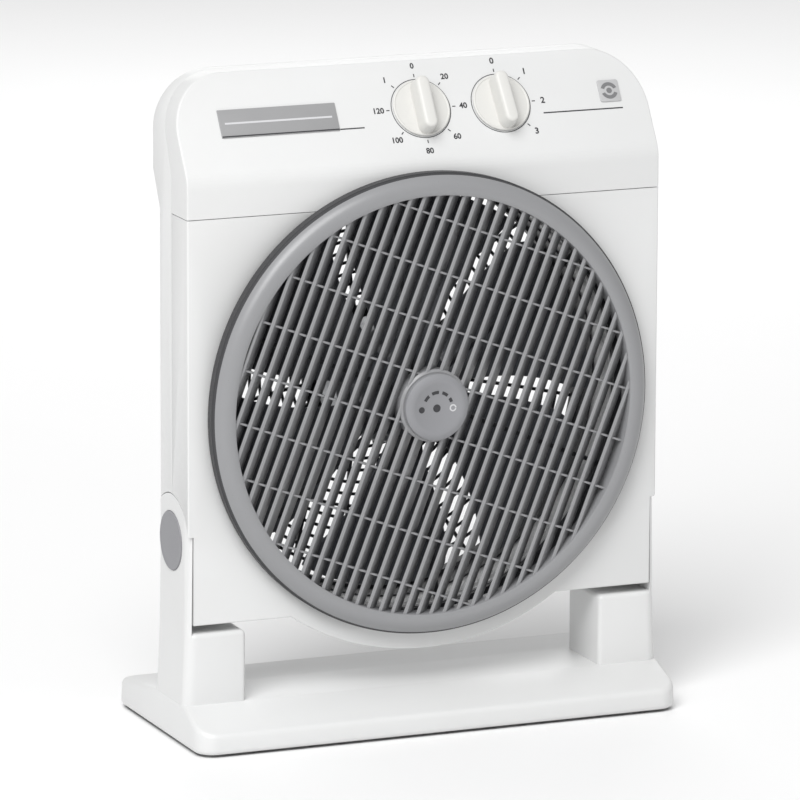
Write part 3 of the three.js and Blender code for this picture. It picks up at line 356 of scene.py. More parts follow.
stand = add_block("stand_moulding", stand_low, (stand_high.x, stand_high.y, BASE_RISE))
slice_loop(stand, (0, body_front, 0), (0, 1, 0))
slice_loop(stand, (0, body_back, 0), (0, 1, 0))
for vertex in stand.data.vertices:
    if near(vertex.co.z, BASE_RISE) and near(vertex.co.y, stand_low.y):
        vertex.co.z = BASE_LIP
    elif near(vertex.co.z, BASE_RISE) and near(vertex.co.y, stand_high.y):
        vertex.co.z = BASE_BACK_EDGE
select_edges(stand, lambda a, b: near(a.x, b.x) and near(a.y, b.y) and abs(a.z - b.z) > 0.004
             and (near(a.y, stand_low.y) or near(a.y, stand_high.y)))
round_selected(BASE_CORNER, 8)
soften(stand, STAND_EDGE, 4)
select_faces(stand, lambda centre, normal: normal.z < -0.9)
bpy.ops.mesh.inset(thickness=SHELL_WALL, depth=0)
bpy.ops.transform.translate(value=(0, 0, SHELL_DEPTH))
bpy.ops.object.mode_set(mode="OBJECT")


def arm_block(name, inner, outer, bottom, top):
    """Part of an arm between two distances from the middle, with its outer front edge rounded."""
    arm = add_block(name, (min(inner, outer), body_front, bottom), (max(inner, outer), body_back, top))
    select_edges(arm, lambda a, b: near(a.x, outer) and near(b.x, outer)
                 and near(a.y, body_front) and near(b.y, body_front))
    round_selected(BODY_EDGE, 6)
    return arm


for side in (-1, 1):
    inner, outer = side * (body_half - ARM_WIDTH), side * body_half
    arm = arm_block("arm", inner, outer, ARM_FOOT, ARM_HEIGHT)
    select_edges(arm, lambda a, b: (near(a.z, ARM_HEIGHT) and near(b.z, ARM_HEIGHT)
                                    and not (near(a.x, outer) and near(b.x, outer)))
                 or (near(a.x, inner) and near(b.x, inner) and not near(a.z, b.z)))
    round_selected(ARM_EDGE, 4)
    plate = arm_block("arm_plate", inner, outer, ARM_FOOT, pivot_z + LOBE_RADIUS)
    plate_inside = outer - side * ARM_PLATE
    slab = add_block("plate_slab", (min(plate_inside, outer) - 0.001 * (side < 0), -0.2, 0),
                     (max(plate_inside, outer) + 0.001 * (side > 0), 0.2, 0.5))
    combine(plate, slab, "INTERSECT")
    crown = add_block("crown", (-0.2, body_front - 0.01, 0), (0.2, body_back + 0.01, pivot_z))
    lobe = add_rod("lobe", (0, pivot_y, pivot_z), LOBE_RADIUS, 0.4, "X")
    combine(plate, combine(crown, lobe, "UNION"), "INTERSECT")
    combine(stand, combine(arm, plate, "UNION"), "UNION")
    seat = add_rod("cap_seat", (side * body_half, pivot_y, pivot_z), SEAT_RADIUS, SEAT_DEPTH, "X")
    combine(stand, seat, "DIFFERENCE")
    bush_hole = add_rod("bush_hole", (side * body_half, pivot_y, pivot_z), BUSH_RADIUS, 0.02, "X", 48)
    combine(stand, bush_hole, "DIFFERENCE")
soften(stand, PLATE_EDGE, 2, 50)
for vertex in stand.data.vertices:
    if vertex.co.z < FLARE_HEIGHT and abs(vertex.co.x) > body_half - ARM_WIDTH / 2:
        spread = FLARE * (1 - vertex.co.z / FLARE_HEIGHT)
        vertex.co.x += spread if vertex.co.x > 0 else -spread
for pad in range(1, 5):
    centre = middle_of(f"foot_pad_{pad}")
    boss = add_rod("pad_boss", (centre.x, centre.y, BOSS_MIDDLE), BOSS_RADIUS, BOSS_HEIGHT, "Z", 40)
    select_only(stand, boss)
    bpy.ops.object.join()
finish_piece(stand, white_plastic, "stand", "white_housing", "stand")

# Four rubber pads under the base's corners, each a turned disc with a ridged sole.
rubber_place, feed_rubber = start_material("foot_rubber", IOR=1.52)
rubber_grain = noise(rubber_place, 1400.0, 2.0)
RUBBER_BLACK, RUBBER_DUST = (0.016, 0.016, 0.017), (0.035, 0.034, 0.034)
PAD_RADIUS = 0.008
foot_rubber = feed_rubber(
    Base_Color=blend_colours(noise(rubber_place, 90.0), RUBBER_BLACK, RUBBER_DUST),
    Roughness=0.78 + rubber_grain * 0.15, Normal=bump(rubber_grain, 0.5, 0.00006))


def inset_steps(piece, rule, *steps):
    """Insets the chosen faces again and again, each time by a thickness and a depth."""
    select_faces(piece, rule)
    for thickness, depth in steps:
        bpy.ops.mesh.inset(thickness=thickness, depth=depth)
    bpy.ops.object.mode_set(mode="OBJECT")


for pad in range(1, 5):
    pad_low, pad_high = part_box(f"foot_pad_{pad}")
    foot = add_rod(f"foot_{pad}", middle_of(f"foot_pad_{pad}"), PAD_RADIUS, pad_high.z - pad_low.z, "Z", 48)
    inset_steps(foot, lambda centre, normal: normal.z < -0.9,
                (0.0022, 0), (0.0008, -0.0006), (0.0018, 0), (0.0008, 0.0006))
    soften(foot, 0.0004, 2, 60)
    finish_piece(foot, foot_rubber, "stand", "foot_rubber", f"foot_pad_{pad}")


# ---- Pivot caps ----------------------------------------------------------------------------------
# A grey disc presses into each arm's lobe and hides the screw and bush that the body turns on.

CAP_RADIUS = 0.021
cap_grey = moulded_plastic("cap_grey", (0.265, 0.265, 0.28), (0.24, 0.24, 0.255), 0.42)
for side, side_name in ((-1, "left"), (1, "right")):
    low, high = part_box(f"pivot_cap_{side_name}")
    cap = add_rod(f"pivot_disc_{side_name}", (low + high) / 2, CAP_RADIUS, high.x - low.x, "X", 96)
    inset_steps(cap, lambda centre, normal: normal.x * side > 0.9,
                (0.0012, 0), (0.0006, -0.00015), (0.004, 0.0001))
    soften(cap, 0.0004, 3, 60)
    finish_piece(cap, cap_grey, "stand", "grey_cap", f"pivot_cap_{side_name}")


# ---- Body mouldings ------------------------------------------------------------------------------
# Three white mouldings with one outline: the front frame, the sloping control panel above its seam, and
# the rear housing with the drum for the rear grille. They meet with a fine dark gap.

PANEL_LEAN = radians(32)
BODY_CORNER = 0.040
HEAD_BULGE = 0.013
RING_RADIUS = 0.165
OPENING_RADIUS = 0.160
DRUM_RADIUS = 0.1525
MOULDING_WALL = 0.0025
GAP = 0.0003
BODY_BELOW_AXIS = 0.147
PANEL_FOOT = 0.027  # from the panel's seam up to where it starts to slope
PARTING_STEP = 0.026  # how far the parting line goes back at the head
BULGE_RISE = 0.026
LOBE_GAP = 0.0007
axis_z = middle_of("louvre_grille").z
chin_radius = axis_z - front_low.z
body_bottom = axis_z - BODY_BELOW_AXIS
body_top = panel_high.z
seam_z = panel_low.z - GAP / 2
bend_z = seam_z + PANEL_FOOT
parting_y = front_high.y + GAP / 2
parting_top_y = parting_y + PARTING_STEP
head_back = body_back + HEAD_BULGE
slope_run = (body_top - bend_z) * tan(PANEL_LEAN)


def lay_outline(name, points, fill):
    """A closed outline: a circle primitive of as many points, each moved to its place."""
    bpy.ops.object.select_all(action="DESELECT")
    bpy.ops.mesh.primitive_circle_add(vertices=len(points), radius=1, fill_type=fill)
    piece = settle(name)
    for vertex, point in zip(piece.data.vertices, points):
        vertex.co = point
    return piece


def pull_solid(piece, travel):
    """Extrudes a flat outline into a closed solid."""
    select_only(piece)
    bpy.ops.object.mode_set(mode="EDIT")
    bpy.ops.mesh.select_all(action="SELECT")
    bpy.ops.mesh.extrude_region_move(TRANSFORM_OT_translate={"value": travel})
    bpy.ops.mesh.select_all(action="SELECT")
    bpy.ops.mesh.normals_make_consistent(inside=False)
    bpy.ops.object.mode_set(mode="OBJECT")
    return piece


def outline_prism(name, points, axis, start, end):
    """An outline in the plane across an axis, extruded along it."""
    if axis == "X":
        return pull_solid(lay_outline(name, [(start, u, v) for u, v in points], "NGON"), (end - start, 0, 0))
    return pull_solid(lay_outline(name, [(u, start, v) for u, v in points], "NGON"), (0, end - start, 0))


def arc(centre, radius, first, last, steps):
    """Points on an arc, with its angles in degrees."""
    angles = [radians(first + (last - first) * step / steps) for step in range(steps + 1)]
    return [(centre[0] + radius * cos(angle), centre[1] + radius * sin(angle)) for angle in angles]


BEND_ROUND = 0.022
lean_degrees = degrees(PANEL_LEAN)
bend_reach = BEND_ROUND * tan(PANEL_LEAN / 2)
side_outline = [
    (body_front, 0.03), (body_back, 0.03), (body_back, seam_z), (head_back, seam_z + BULGE_RISE),
    (head_back, body_top), (body_front + slope_run, body_top),
    *arc((body_front + BEND_ROUND, bend_z - bend_reach), BEND_ROUND, 180 - lean_degrees, 180, 5),
]
chin_angle = degrees(asin((axis_z - body_bottom) / chin_radius))
corner_x, corner_z = body_half - BODY_CORNER, body_top - BODY_CORNER
front_outline = [
    (-body_half, body_bottom),
    *arc((0, axis_z), chin_radius, 180 + chin_angle, 360 - chin_angle, 48),
    (body_half, body_bottom),
    *arc((corner_x, corner_z), BODY_CORNER, 0, 90, 18),
    *arc((-corner_x, corner_z), BODY_CORNER, 90, 180, 18),
]
body = combine(
    outline_prism("body", front_outline, "Y", body_front - 0.01, head_back + 0.01),
    outline_prism("side_view", side_outline, "X", -body_half - 0.01, body_half + 0.01), "INTERSECT")


def weigh_edges(piece, rule):
    """Gives each edge the bevel weight that the rule works out from its two ends."""
    weights = piece.data.attributes.new("bevel_weight_edge", "FLOAT", "EDGE")
    points = [vertex.co for vertex in piece.data.vertices]
    for edge in piece.data.edges:
        weights.data[edge.index].value = rule(points[edge.vertices[0]], points[edge.vertices[1]])


def panel_depth(point):
    """How far a point lies behind the body's front face or sloping panel."""
    return point.y - body_front - max(0, point.z - bend_z) * tan(PANEL_LEAN)


def on_front(point):
    bent = abs(point.z - bend_z) < 0.009 and abs(panel_depth(point)) < 0.002
    return bent or abs(panel_depth(point)) < 1e-4


def on_outline(point):
    low = near(point.z, body_bottom) or point.z < body_bottom
    beyond_corner = sqrt((abs(point.x) - corner_x) ** 2 + (point.z - corner_z) ** 2) > BODY_CORNER - 1e-4
    corner = abs(point.x) > corner_x and point.z > corner_z and beyond_corner
    return low or near(abs(point.x), body_half) or near(point.z, body_top) or corner


def on_back(point):
    step = body_back + max(0.0, min(1.0, (point.z - seam_z) / BULGE_RISE)) * HEAD_BULGE
    return abs(point.y - step) < 1e-4


def body_edge_weight(a, b):
    if on_front(a) and on_front(b) and on_outline(a) and on_outline(b):
        return 1.0
    if on_back(a) and on_back(b) and on_outline(a) and on_outline(b):
        return 0.6
    return 0.0


weigh_edges(body, body_edge_weight)
select_only(body)
edge_rounding = body.modifiers.new("rounding", "BEVEL")
edge_rounding.width, edge_rounding.segments, edge_rounding.limit_method = BODY_EDGE, 5, "WEIGHT"
bpy.ops.object.modifier_apply(modifier=edge_rounding.name)

RECESS_FACE = body_half - ARM_PLATE - 2 * GAP
for side in (-1, 1):
    inside, outside = side * RECESS_FACE, side * (body_half + 0.005)
    recess = add_block("recess", (min(inside, outside), body_front - 0.02, 0.03),
                       (max(inside, outside), head_back + 0.02, pivot_z))
    lobe = add_rod("lobe_room", ((inside + outside) / 2, pivot_y, pivot_z), LOBE_RADIUS + LOBE_GAP,
                   abs(outside - inside), "X")
    combine(body, combine(recess, lobe, "UNION"), "DIFFERENCE")


def copy_piece(piece, name):
    twin = piece.copy()
    twin.data = piece.data.copy()
    twin.name = twin.data.name = name
    bpy.context.scene.collection.objects.link(twin)
    return twin


def behind_parting(shift):
    """Everything behind the line where front and rear mouldings meet, moved back by shift."""
    points = [(parting_y + shift, 0), (0.3, 0), (0.3, 0.6), (parting_top_y + shift, 0.6),
              (parting_top_y + shift, body_top), (parting_y + shift, bend_z)]
    return outline_prism("behind", points, "X", -0.3, 0.3)


FAR = 0.5
SEAM_SOFTNESS = 0.0007
front_moulding = copy_piece(body, "front_moulding")
combine(front_moulding, behind_parting(-GAP / 2), "DIFFERENCE")
panel_moulding = copy_piece(front_moulding, "panel_moulding")
combine(front_moulding, add_block("above", (-FAR, -FAR, seam_z - GAP), (FAR, FAR, FAR)), "DIFFERENCE")
combine(panel_moulding, add_block("below", (-FAR, -FAR, 0), (FAR, FAR, seam_z + GAP)), "DIFFERENCE")
rear_moulding = combine(copy_piece(body, "rear_moulding"), behind_parting(GAP / 2), "INTERSECT")
bpy.data.objects.remove(body)
combine(front_moulding, add_rod("opening", (0, 0, axis_z), OPENING_RADIUS, 1, "Y", 160), "DIFFERENCE")
combine(panel_moulding, add_rod(
    "collar_room", (0, 0, axis_z), OPENING_RADIUS + MOULDING_WALL + GAP, 1, "Y", 160), "DIFFERENCE")
combine(rear_moulding, add_rod("drum_bore", (0, 0, axis_z), DRUM_RADIUS, 1, "Y", 160), "DIFFERENCE")


def turned_ring(name, profile, steps=160):
    """A closed profile of (radius, y) points spun about the fan's axis."""
    piece = lay_outline(name, [(radius, y, axis_z) for radius, y in profile], "NOTHING")
    bpy.ops.object.mode_set(mode="EDIT")
    bpy.ops.mesh.select_all(action="SELECT")
    bpy.ops.mesh.spin(steps=steps, angle=2 * pi, center=(0, 0, axis_z), axis=(0, 1, 0))
    bpy.ops.mesh.select_all(action="SELECT")
    bpy.ops.mesh.remove_doubles(threshold=1e-6)
    bpy.ops.mesh.delete_loose()
    bpy.ops.mesh.select_all(action="SELECT")
    bpy.ops.mesh.normals_make_consistent(inside=False)
    bpy.ops.object.mode_set(mode="OBJECT")
    return piece


def join_pieces(first, *others):
    select_only(first, *others)
    bpy.ops.object.join()
    return first


COLLAR_LIP = 0.007
guard_low, guard_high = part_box("front_guard")
collar_back = guard_high.y + MOULDING_WALL + GAP
collar = turned_ring("collar", [
    (OPENING_RADIUS, body_front + 0.0008), (OPENING_RADIUS + 0.0008, body_front),
    (OPENING_RADIUS + MOULDING_WALL, body_front), (OPENING_RADIUS + MOULDING_WALL, collar_back),
    (OPENING_RADIUS - COLLAR_LIP, collar_back), (OPENING_RADIUS - COLLAR_LIP, collar_back - MOULDING_WALL),
    (OPENING_RADIUS, collar_back - MOULDING_WALL)])
soften(front_moulding, SEAM_SOFTNESS, 2, 50)
join_pieces(front_moulding, collar)
finish_piece(front_moulding, white_plastic, "tilting_body", "white_housing", "front_housing")
soften(panel_moulding, SEAM_SOFTNESS, 2, 50)
finish_piece(panel_moulding, white_plastic, "tilting_body", "white_housing", "control_panel")

# The rear housing: a finger grip at the top, screw wells, and four posts round the drum.
GRIP_HALF, GRIP_HEIGHT, GRIP_DEPTH = 0.048, 0.026, 0.012
GRIP_CORNER, GRIP_BELOW_TOP = 0.008, 0.046
WELL_RADIUS, WELL_LENGTH, WELL_DEPTH = 0.0044, 0.1, 0.002
INLET_RADIUS, POST_RADIUS, DRUM_ROOT = 0.005, 0.0056, 0.004
drum_back = rear_high.y
grip_low_z = body_top - GRIP_BELOW_TOP
grip = add_block("grip", (-GRIP_HALF, head_back - GRIP_DEPTH, grip_low_z),
                 (GRIP_HALF, head_back + 0.02, grip_low_z + GRIP_HEIGHT))
select_edges(grip, lambda a, b: near(a.x, b.x) and near(a.z, b.z))
round_selected(GRIP_CORNER, 6)
combine(rear_moulding, grip, "DIFFERENCE")


def rod_behind(name, node, start, end, radius, sides):
    """A rod along Y between two depths, in line with a CAD node."""
    centre = middle_of(node)
    return add_rod(name, (centre.x, (start + end) / 2, centre.z), radius, end - start, "Y", sides)


SCREW_NODES = [f"housing_screw_{i}" for i in range(1, 5)] + ["head_screw_1", "head_screw_2"]
for node in SCREW_NODES:
    well_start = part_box(node)[1].y - WELL_DEPTH
    well = rod_behind("well", node, well_start, well_start + WELL_LENGTH, WELL_RADIUS, 32)
    combine(rear_moulding, well, "DIFFERENCE")
inlet_hole = rod_behind("inlet_hole", "cord_inlet_bush", body_back - 0.015, body_back + 0.015, INLET_RADIUS, 40)
combine(rear_moulding, inlet_hole, "DIFFERENCE")
soften(rear_moulding, SEAM_SOFTNESS, 2, 50)
drum = turned_ring("drum", [
    (DRUM_RADIUS, body_back - DRUM_ROOT), (DRUM_RADIUS + MOULDING_WALL, body_back - DRUM_ROOT),
    (DRUM_RADIUS + MOULDING_WALL, drum_back), (DRUM_RADIUS, drum_back)])
posts = [rod_behind(f"post_{lug}", f"grille_screw_{lug}", body_back - DRUM_ROOT, drum_back, POST_RADIUS, 40)
         for lug in range(1, 5)]
join_pieces(rear_moulding, drum, *posts)
finish_piece(rear_moulding, white_plastic, "tilting_body", "white_housing", "rear_housing")


# ---- Front guard ---------------------------------------------------------------------------------
# A dark spider clipped inside the collar. Its thin dark skirt lines the opening and covers the white collar's
# inner wall, as painted shade inside the opening. Its middle carries the pin that the grille turns on.

dark_plastic = moulded_plastic("dark_plastic", (0.045, 0.047, 0.052), (0.035, 0.036, 0.04), 0.48)
RIM_WIDTH, RIM_DEPTH, SKIRT_WALL, SKIRT_START = 0.006, 0.005, 0.0016, 0.0045
SPIDER_BAR = 0.0016
guard_rim_y = guard_high.y
skirt_front = body_front + SKIRT_START
# The skirt is dark plastic laid over the white collar's wall: painted shade for the inside of the opening.
rim = turned_ring("guard_rim", [
    (OPENING_RADIUS - RIM_WIDTH, guard_rim_y - RIM_DEPTH),
    (OPENING_RADIUS - SKIRT_WALL, guard_rim_y - RIM_DEPTH),
    (OPENING_RADIUS - SKIRT_WALL, skirt_front), (OPENING_RADIUS - GAP, skirt_front),
    (OPENING_RADIUS - GAP, guard_rim_y), (OPENING_RADIUS - RIM_WIDTH, guard_rim_y)])
guard_parts = [rim]
SPOKE_START = 0.4
for spoke in range(6):
    turn = SPOKE_START + spoke * pi / 3
    reach = OPENING_RADIUS - 0.004
    bar = add_block("spoke", (0, guard_rim_y - RIM_DEPTH, -SPIDER_BAR), (reach, guard_rim_y, SPIDER_BAR))
    bar.data.transform(Matrix.Translation((0, 0, axis_z)) @ Matrix.Rotation(turn, 4, "Y"))
    soften(bar, 0.0006, 2)
    guard_parts.append(bar)
guard_boss = turned_ring("guard_boss", [
    (0, guard_low.y), (0.0036, guard_low.y), (0.004, guard_low.y + 0.0004),
    (0.004, guard_rim_y - 0.0085), (0.0165, guard_rim_y - 0.0085), (0.018, guard_rim_y - 0.007),
    (0.018, guard_rim_y - 0.002), (0, guard_rim_y - 0.002)], 64)
guard = join_pieces(rim, *guard_parts[1:], guard_boss)
guard.name = "guard_spider"
finish_piece(guard, dark_plastic, "tilting_body", "dark_plastic", "front_guard")


# ---- Revolving grille ----------------------------------------------------------------------------
# One grey moulding: a convex ring, slanted slats all set one way to the air, ribs across them, and a hub
# that turns on the guard's pin. It stands a few millimetres clear of the body, and the ring's outermost edge is
# painted near black as the shade of that gap.

GRILLE_GREY, GRILLE_SHADE, GRILLE_GAP_SHADE = (0.29, 0.292, 0.3), (0.265, 0.267, 0.275), (0.045, 0.045, 0.048)
grille_place, feed_grille = start_material("grille_grey", IOR=1.5)
from_axis = grille_place.node(
    "ShaderNodeVectorMath", {"operation": "SUBTRACT"}, {0: grille_place, 1: (0, 0, axis_z)})
flat_from_axis = from_axis.node(
    "ShaderNodeVectorMath", {"operation": "MULTIPLY"}, {0: from_axis, 1: (1, 0, 1)})
reach_out = flat_from_axis.node(
    "ShaderNodeVectorMath", {"operation": "LENGTH"}, {0: flat_from_axis}, "Value")
# Painted shade: the outermost 1.6 mm of the ring is coloured near black, and made rougher, to stand in for the
# dark gap round it.
painted_gap_shade_band = reach_out.maths("GREATER_THAN", reach_out, RING_RADIUS - 0.0016)
grille_flow = noise(grille_place, 12.0, 4.0)
grille_grain = noise(grille_place, 900.0, 2.0)
grille_grey = feed_grille(
    Base_Color=blend_colours(painted_gap_shade_band, blend_colours(grille_flow, GRILLE_GREY, GRILLE_SHADE), GRILLE_GAP_SHADE),
    Roughness=0.3 + (grille_grain - 0.5) * 0.12 + painted_gap_shade_band * 0.25,
    Normal=bump(grille_grain, 0.3, 0.00004))
LOUVRE_RADIUS = 0.1495
SLAT_PITCH, SLAT_THICKNESS, SLAT_DEPTH = 0.0095, 0.0023, 0.012
SLAT_LEAN, SLAT_ANGLE = radians(21.3), radians(41)
RIB_PITCH, RIB_THICKNESS, RIB_DEPTH, RIB_SETBACK = 0.036, 0.0015, 0.005, 0.0022
ring_edge = body_front - 0.005
crown_y = ring_edge - 0.014
slat_front = crown_y + 0.002
slat_back = slat_front + SLAT_DEPTH
crest = [(RING_RADIUS - 0.0115 + 0.0115 * cos(a), crown_y + 0.0125 * (1 - sin(a)))
         for a in [radians(step * 9) for step in range(0, 11)]]
ring = turned_ring("grille_ring", [
    (RING_RADIUS, ring_edge + 0.0015), (RING_RADIUS, crown_y + 0.0088),
    (RING_RADIUS - 0.0016, crown_y + 0.0084), *crest[2:], (LOUVRE_RADIUS + 0.0016, crown_y + 0.0002),
    (LOUVRE_RADIUS + 0.0003, crown_y + 0.0008), (LOUVRE_RADIUS, slat_front),
    (LOUVRE_RADIUS, ring_edge + 0.001), (LOUVRE_RADIUS + 0.005, ring_edge + 0.001),
    (LOUVRE_RADIUS + 0.005, body_front + 0.003), (OPENING_RADIUS - 0.003, body_front + 0.003),
    (OPENING_RADIUS - 0.003, ring_edge + 0.0015)], 200)


def grille_bar(name, size, set_angle, shift, edge):
    """A bar centred on the fan's axis, rounded, set to the air, shifted across and leaned over."""
    bar = add_block(name, [-part / 2 for part in size], [part / 2 for part in size])
    soften(bar, edge, 2, 60)
    bar.data.transform(
        Matrix.Translation((0, 0, axis_z)) @ Matrix.Rotation(SLAT_LEAN, 4, "Y")
        @ Matrix.Translation(shift) @ Matrix.Rotation(set_angle, 4, "Z"))
    return bar


slat_count = int(LOUVRE_RADIUS / SLAT_PITCH)
slat_middle = (slat_front + slat_back) / 2
slats = [
    grille_bar("slat", (SLAT_THICKNESS, SLAT_DEPTH / cos(SLAT_ANGLE), 0.34), -SLAT_ANGLE,
               (index * SLAT_PITCH, slat_middle, 0), 0.0005)
    for index in range(-slat_count, slat_count + 1)]
field = join_pieces(*slats)
rib_count = int(LOUVRE_RADIUS / RIB_PITCH)
ribs = [
    grille_bar("rib", (0.34, RIB_DEPTH, RIB_THICKNESS), 0,
               (0, slat_front + RIB_SETBACK + RIB_DEPTH / 2, (index + 0.5) * RIB_PITCH), 0.0004)
    for index in range(-rib_count, rib_count)]
cross_bars = join_pieces(*ribs)
for bars in (field, cross_bars):
    combine(bars, add_rod("field_trim", (0, slat_middle, axis_z), LOUVRE_RADIUS + 0.003, 0.0118, "Y", 160),
            "INTERSECT")
hub_y = slat_front - 0.0005
sleeve_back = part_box("louvre_grille")[1].y
hub_disc = turned_ring("grille_hub", [
    (0.0066, hub_y), (0.0245, hub_y), (0.026, hub_y + 0.0015), (0.026, slat_back), (0.0096, slat_back),
    (0.0096, sleeve_back), (0.0066, sleeve_back)], 96)
grille = join_pieces(ring, field, cross_bars, hub_disc)
grille.name = "revolving_louvre"
finish_piece(grille, grille_grey, "revolving_grille", "grey_grille", "louvre_grille", smooth=35)

# The lock knob: a bevelled grey disc on the hub, printed with a dot at each end of an arc.
# Its outline is a list of radii, with depths from its face.
knob_low, knob_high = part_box("grille_lock_knob")
lock_face = knob_low.y
LOCK_RADIUS = 0.0238
lock_knob = turned_ring("lock_disc", [
    (0, lock_face + 0.0004), (0.0165, lock_face + 0.0004), (0.0172, lock_face), (0.0198, lock_face),
    (0.0212, lock_face + 0.0004), (0.0236, lock_face + 0.0018), (LOCK_RADIUS, lock_face + 0.0026),
    (LOCK_RADIUS, knob_high.y - 0.0004), (LOCK_RADIUS - 0.0004, knob_high.y), (0, knob_high.y)], 96)
lock_grey = moulded_plastic("lock_grey", (0.27, 0.272, 0.285), (0.245, 0.247, 0.26), 0.34)
finish_piece(lock_knob, lock_grey, "lock_knob", "grey_grille", "grille_lock_knob")

ink_place, feed_ink = start_material("dark_ink", IOR=1.45)
ink_wear = noise(ink_place, 500.0, 4.0)
dark_ink = feed_ink(Base_Color=blend_colours(ink_wear, (0.02, 0.02, 0.022), (0.06, 0.06, 0.065)),
                    Roughness=0.42 + ink_wear * 0.16)
PRINT_LIFT, PRINT_THICKNESS = 0.00002, 0.00012


def printed(name, shapes, place, material, body, slot):
    """Flat printing: outlines in its own plane, pulled out by the ink's thickness."""
    flats = [lay_outline(name, [(x, y, PRINT_LIFT) for x, y in points], "NGON") for points in shapes]
    piece = pull_solid(join_pieces(*flats), (0, 0, PRINT_THICKNESS))
    piece.data.transform(place)
    return finish_piece(piece, material, body, slot)


def disc_outline(x, y, radius, steps=28):
    return arc((x, y), radius, 0, 360 - 360 / steps, steps - 1)


def arc_band(radius, width, first, last, steps=14):
    """A curved stroke about the middle, with its angles in degrees."""
    return arc((0, 0), radius + width / 2, first, last, steps) + arc(
        (0, 0), radius - width / 2, last, first, steps)


def upright(y, z):
    """A place for printing that faces out of the front of the fan."""
    return Matrix.Translation((0, y, z)) @ Matrix.Rotation(pi / 2, 4, "X")


lock_marks = [
    disc_outline(-0.0008, -0.0005, 0.0028), disc_outline(-0.0122, -0.001, 0.0022),
    arc_band(0.0108, 0.0022, 128, 152), arc_band(0.0108, 0.0022, 86, 114), arc_band(0.0108, 0.0022, 48, 72),
    arc_band(0.0108, 0.0022, 18, 34)]
printed("lock_marks", lock_marks, upright(lock_face + 0.0004, axis_z), dark_ink, "lock_knob", "grey_grille")
ring_mark = [arc((0.0115, -0.001), 0.0026, 0, 350, 20) + arc((0.0115, -0.001), 0.0016, 350, 0, 20)]
pale_ink = moulded_plastic("pale_ink", (0.62, 0.62, 0.63), (0.58, 0.58, 0.6), 0.5)
printed("lock_ring_mark", ring_mark, upright(lock_face + 0.0004, axis_z), pale_ink, "lock_knob", "grey_grille")


# ---- Rotor ---------------------------------------------------------------------------------------
# Six broad blades and a cup-shaped hub, moulded together in grey plastic and held by a dark spinner nut.

rotor_grey = moulded_plastic("rotor_grey", (0.12, 0.125, 0.14), (0.09, 0.095, 0.105), 0.35)
rotor_low, rotor_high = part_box("rotor")
HUB_RADIUS, TIP_RADIUS = 0.034, 0.143
BLADE_COUNT = 6
ROTOR_TURN = radians(31)
BLADE_STEPS = 16
hub_front = rotor_low.y
blade_middle = hub_front + 0.013


def blade_point(out, along):
    radius = HUB_RADIUS - 0.002 + (TIP_RADIUS - HUB_RADIUS + 0.002) * out
    corner = max(0.0, out - 0.8) / 0.2
    sweep = radians(43 + 9 * out - 5 * corner ** 3)
    angle = sweep * along - radians(9) * out * out
    y = along * 0.021 * (1 - 0.25 * out) + cos(pi * along) * 0.003
    return Vector((radius * cos(angle), blade_middle + y, radius * sin(angle)))


rotor_parts = []
for blade in range(BLADE_COUNT):
    bpy.ops.object.select_all(action="DESELECT")
    bpy.ops.mesh.primitive_grid_add(x_subdivisions=BLADE_STEPS, y_subdivisions=BLADE_STEPS, size=1)
    leaf = settle(f"blade_{blade}")
    turn = Matrix.Rotation(ROTOR_TURN - blade * 2 * pi / BLADE_COUNT, 4, "Y")
    for vertex in leaf.data.vertices:
        vertex.co = Matrix.Translation((0, 0, axis_z)) @ turn @ blade_point(vertex.co.x + 0.5, vertex.co.y)
    select_only(leaf)
    wall = leaf.modifiers.new("wall", "SOLIDIFY")
    wall.thickness, wall.offset = 0.002, 0
    bpy.ops.object.modifier_apply(modifier=wall.name)
    bpy.ops.object.mode_set(mode="EDIT")
    bpy.ops.mesh.select_all(action="SELECT")
    bpy.ops.mesh.normals_make_consistent(inside=False)
    bpy.ops.object.mode_set(mode="OBJECT")
    soften(leaf, 0.0006, 2, 60)
    rotor_parts.append(leaf)
hub_back = rotor_high.y
hub_cup = turned_ring("hub_cup", [
    (0.0043, hub_front), (0.024, hub_front), (0.029, hub_front + 0.0008), (0.0325, hub_front + 0.003),
    (HUB_RADIUS, hub_front + 0.007), (HUB_RADIUS, hub_back), (HUB_RADIUS - 0.003, hub_back),
    (HUB_RADIUS - 0.003, hub_front + 0.009), (0.010, hub_front + 0.005), (0.010, hub_back - 0.004),
    (0.0043, hub_back - 0.004)], 96)
rotor = join_pieces(hub_cup, *rotor_parts)
rotor.name = "rotor_blades"
finish_piece(rotor, rotor_grey, "rotor", "rotor_plastic", "rotor", smooth=40)

nut_low, nut_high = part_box("rotor_nut")
nut = turned_ring("spinner_nut", [
    (0, nut_low.y), (0.008, nut_low.y), (0.0098, nut_low.y + 0.0006), (0.011, nut_low.y + 0.002),
    (0.011, nut_high.y), (0, nut_high.y)], 12)
soften(nut, 0.0004, 2, 25)
finish_piece(nut, dark_plastic, "rotor", "dark_plastic", "rotor_nut")


# ---- Motor ---------------------------------------------------------------------------------------
# A capacitor-run induction motor: two die-cast bearing shields clamp the laminated core. It hangs on four posts
# of the rear grille, and its lead climbs into the head.


def metal(name, pale, shade, roughness, streak_scale, metallic=1.0):
    """Plain metal with fine streaks and uneven polish."""
    place, feed = start_material(name, Metallic=metallic)
    cloud = noise(place, 35.0, 4.0)
    streaks = noise(place, streak_scale, 2.0)
    return feed(Base_Color=blend_colours(cloud, pale, shade),
                Roughness=roughness + (cloud - 0.5) * 0.15 + (streaks - 0.5) * 0.08,
                Normal=bump(streaks, 0.25, 0.00005))


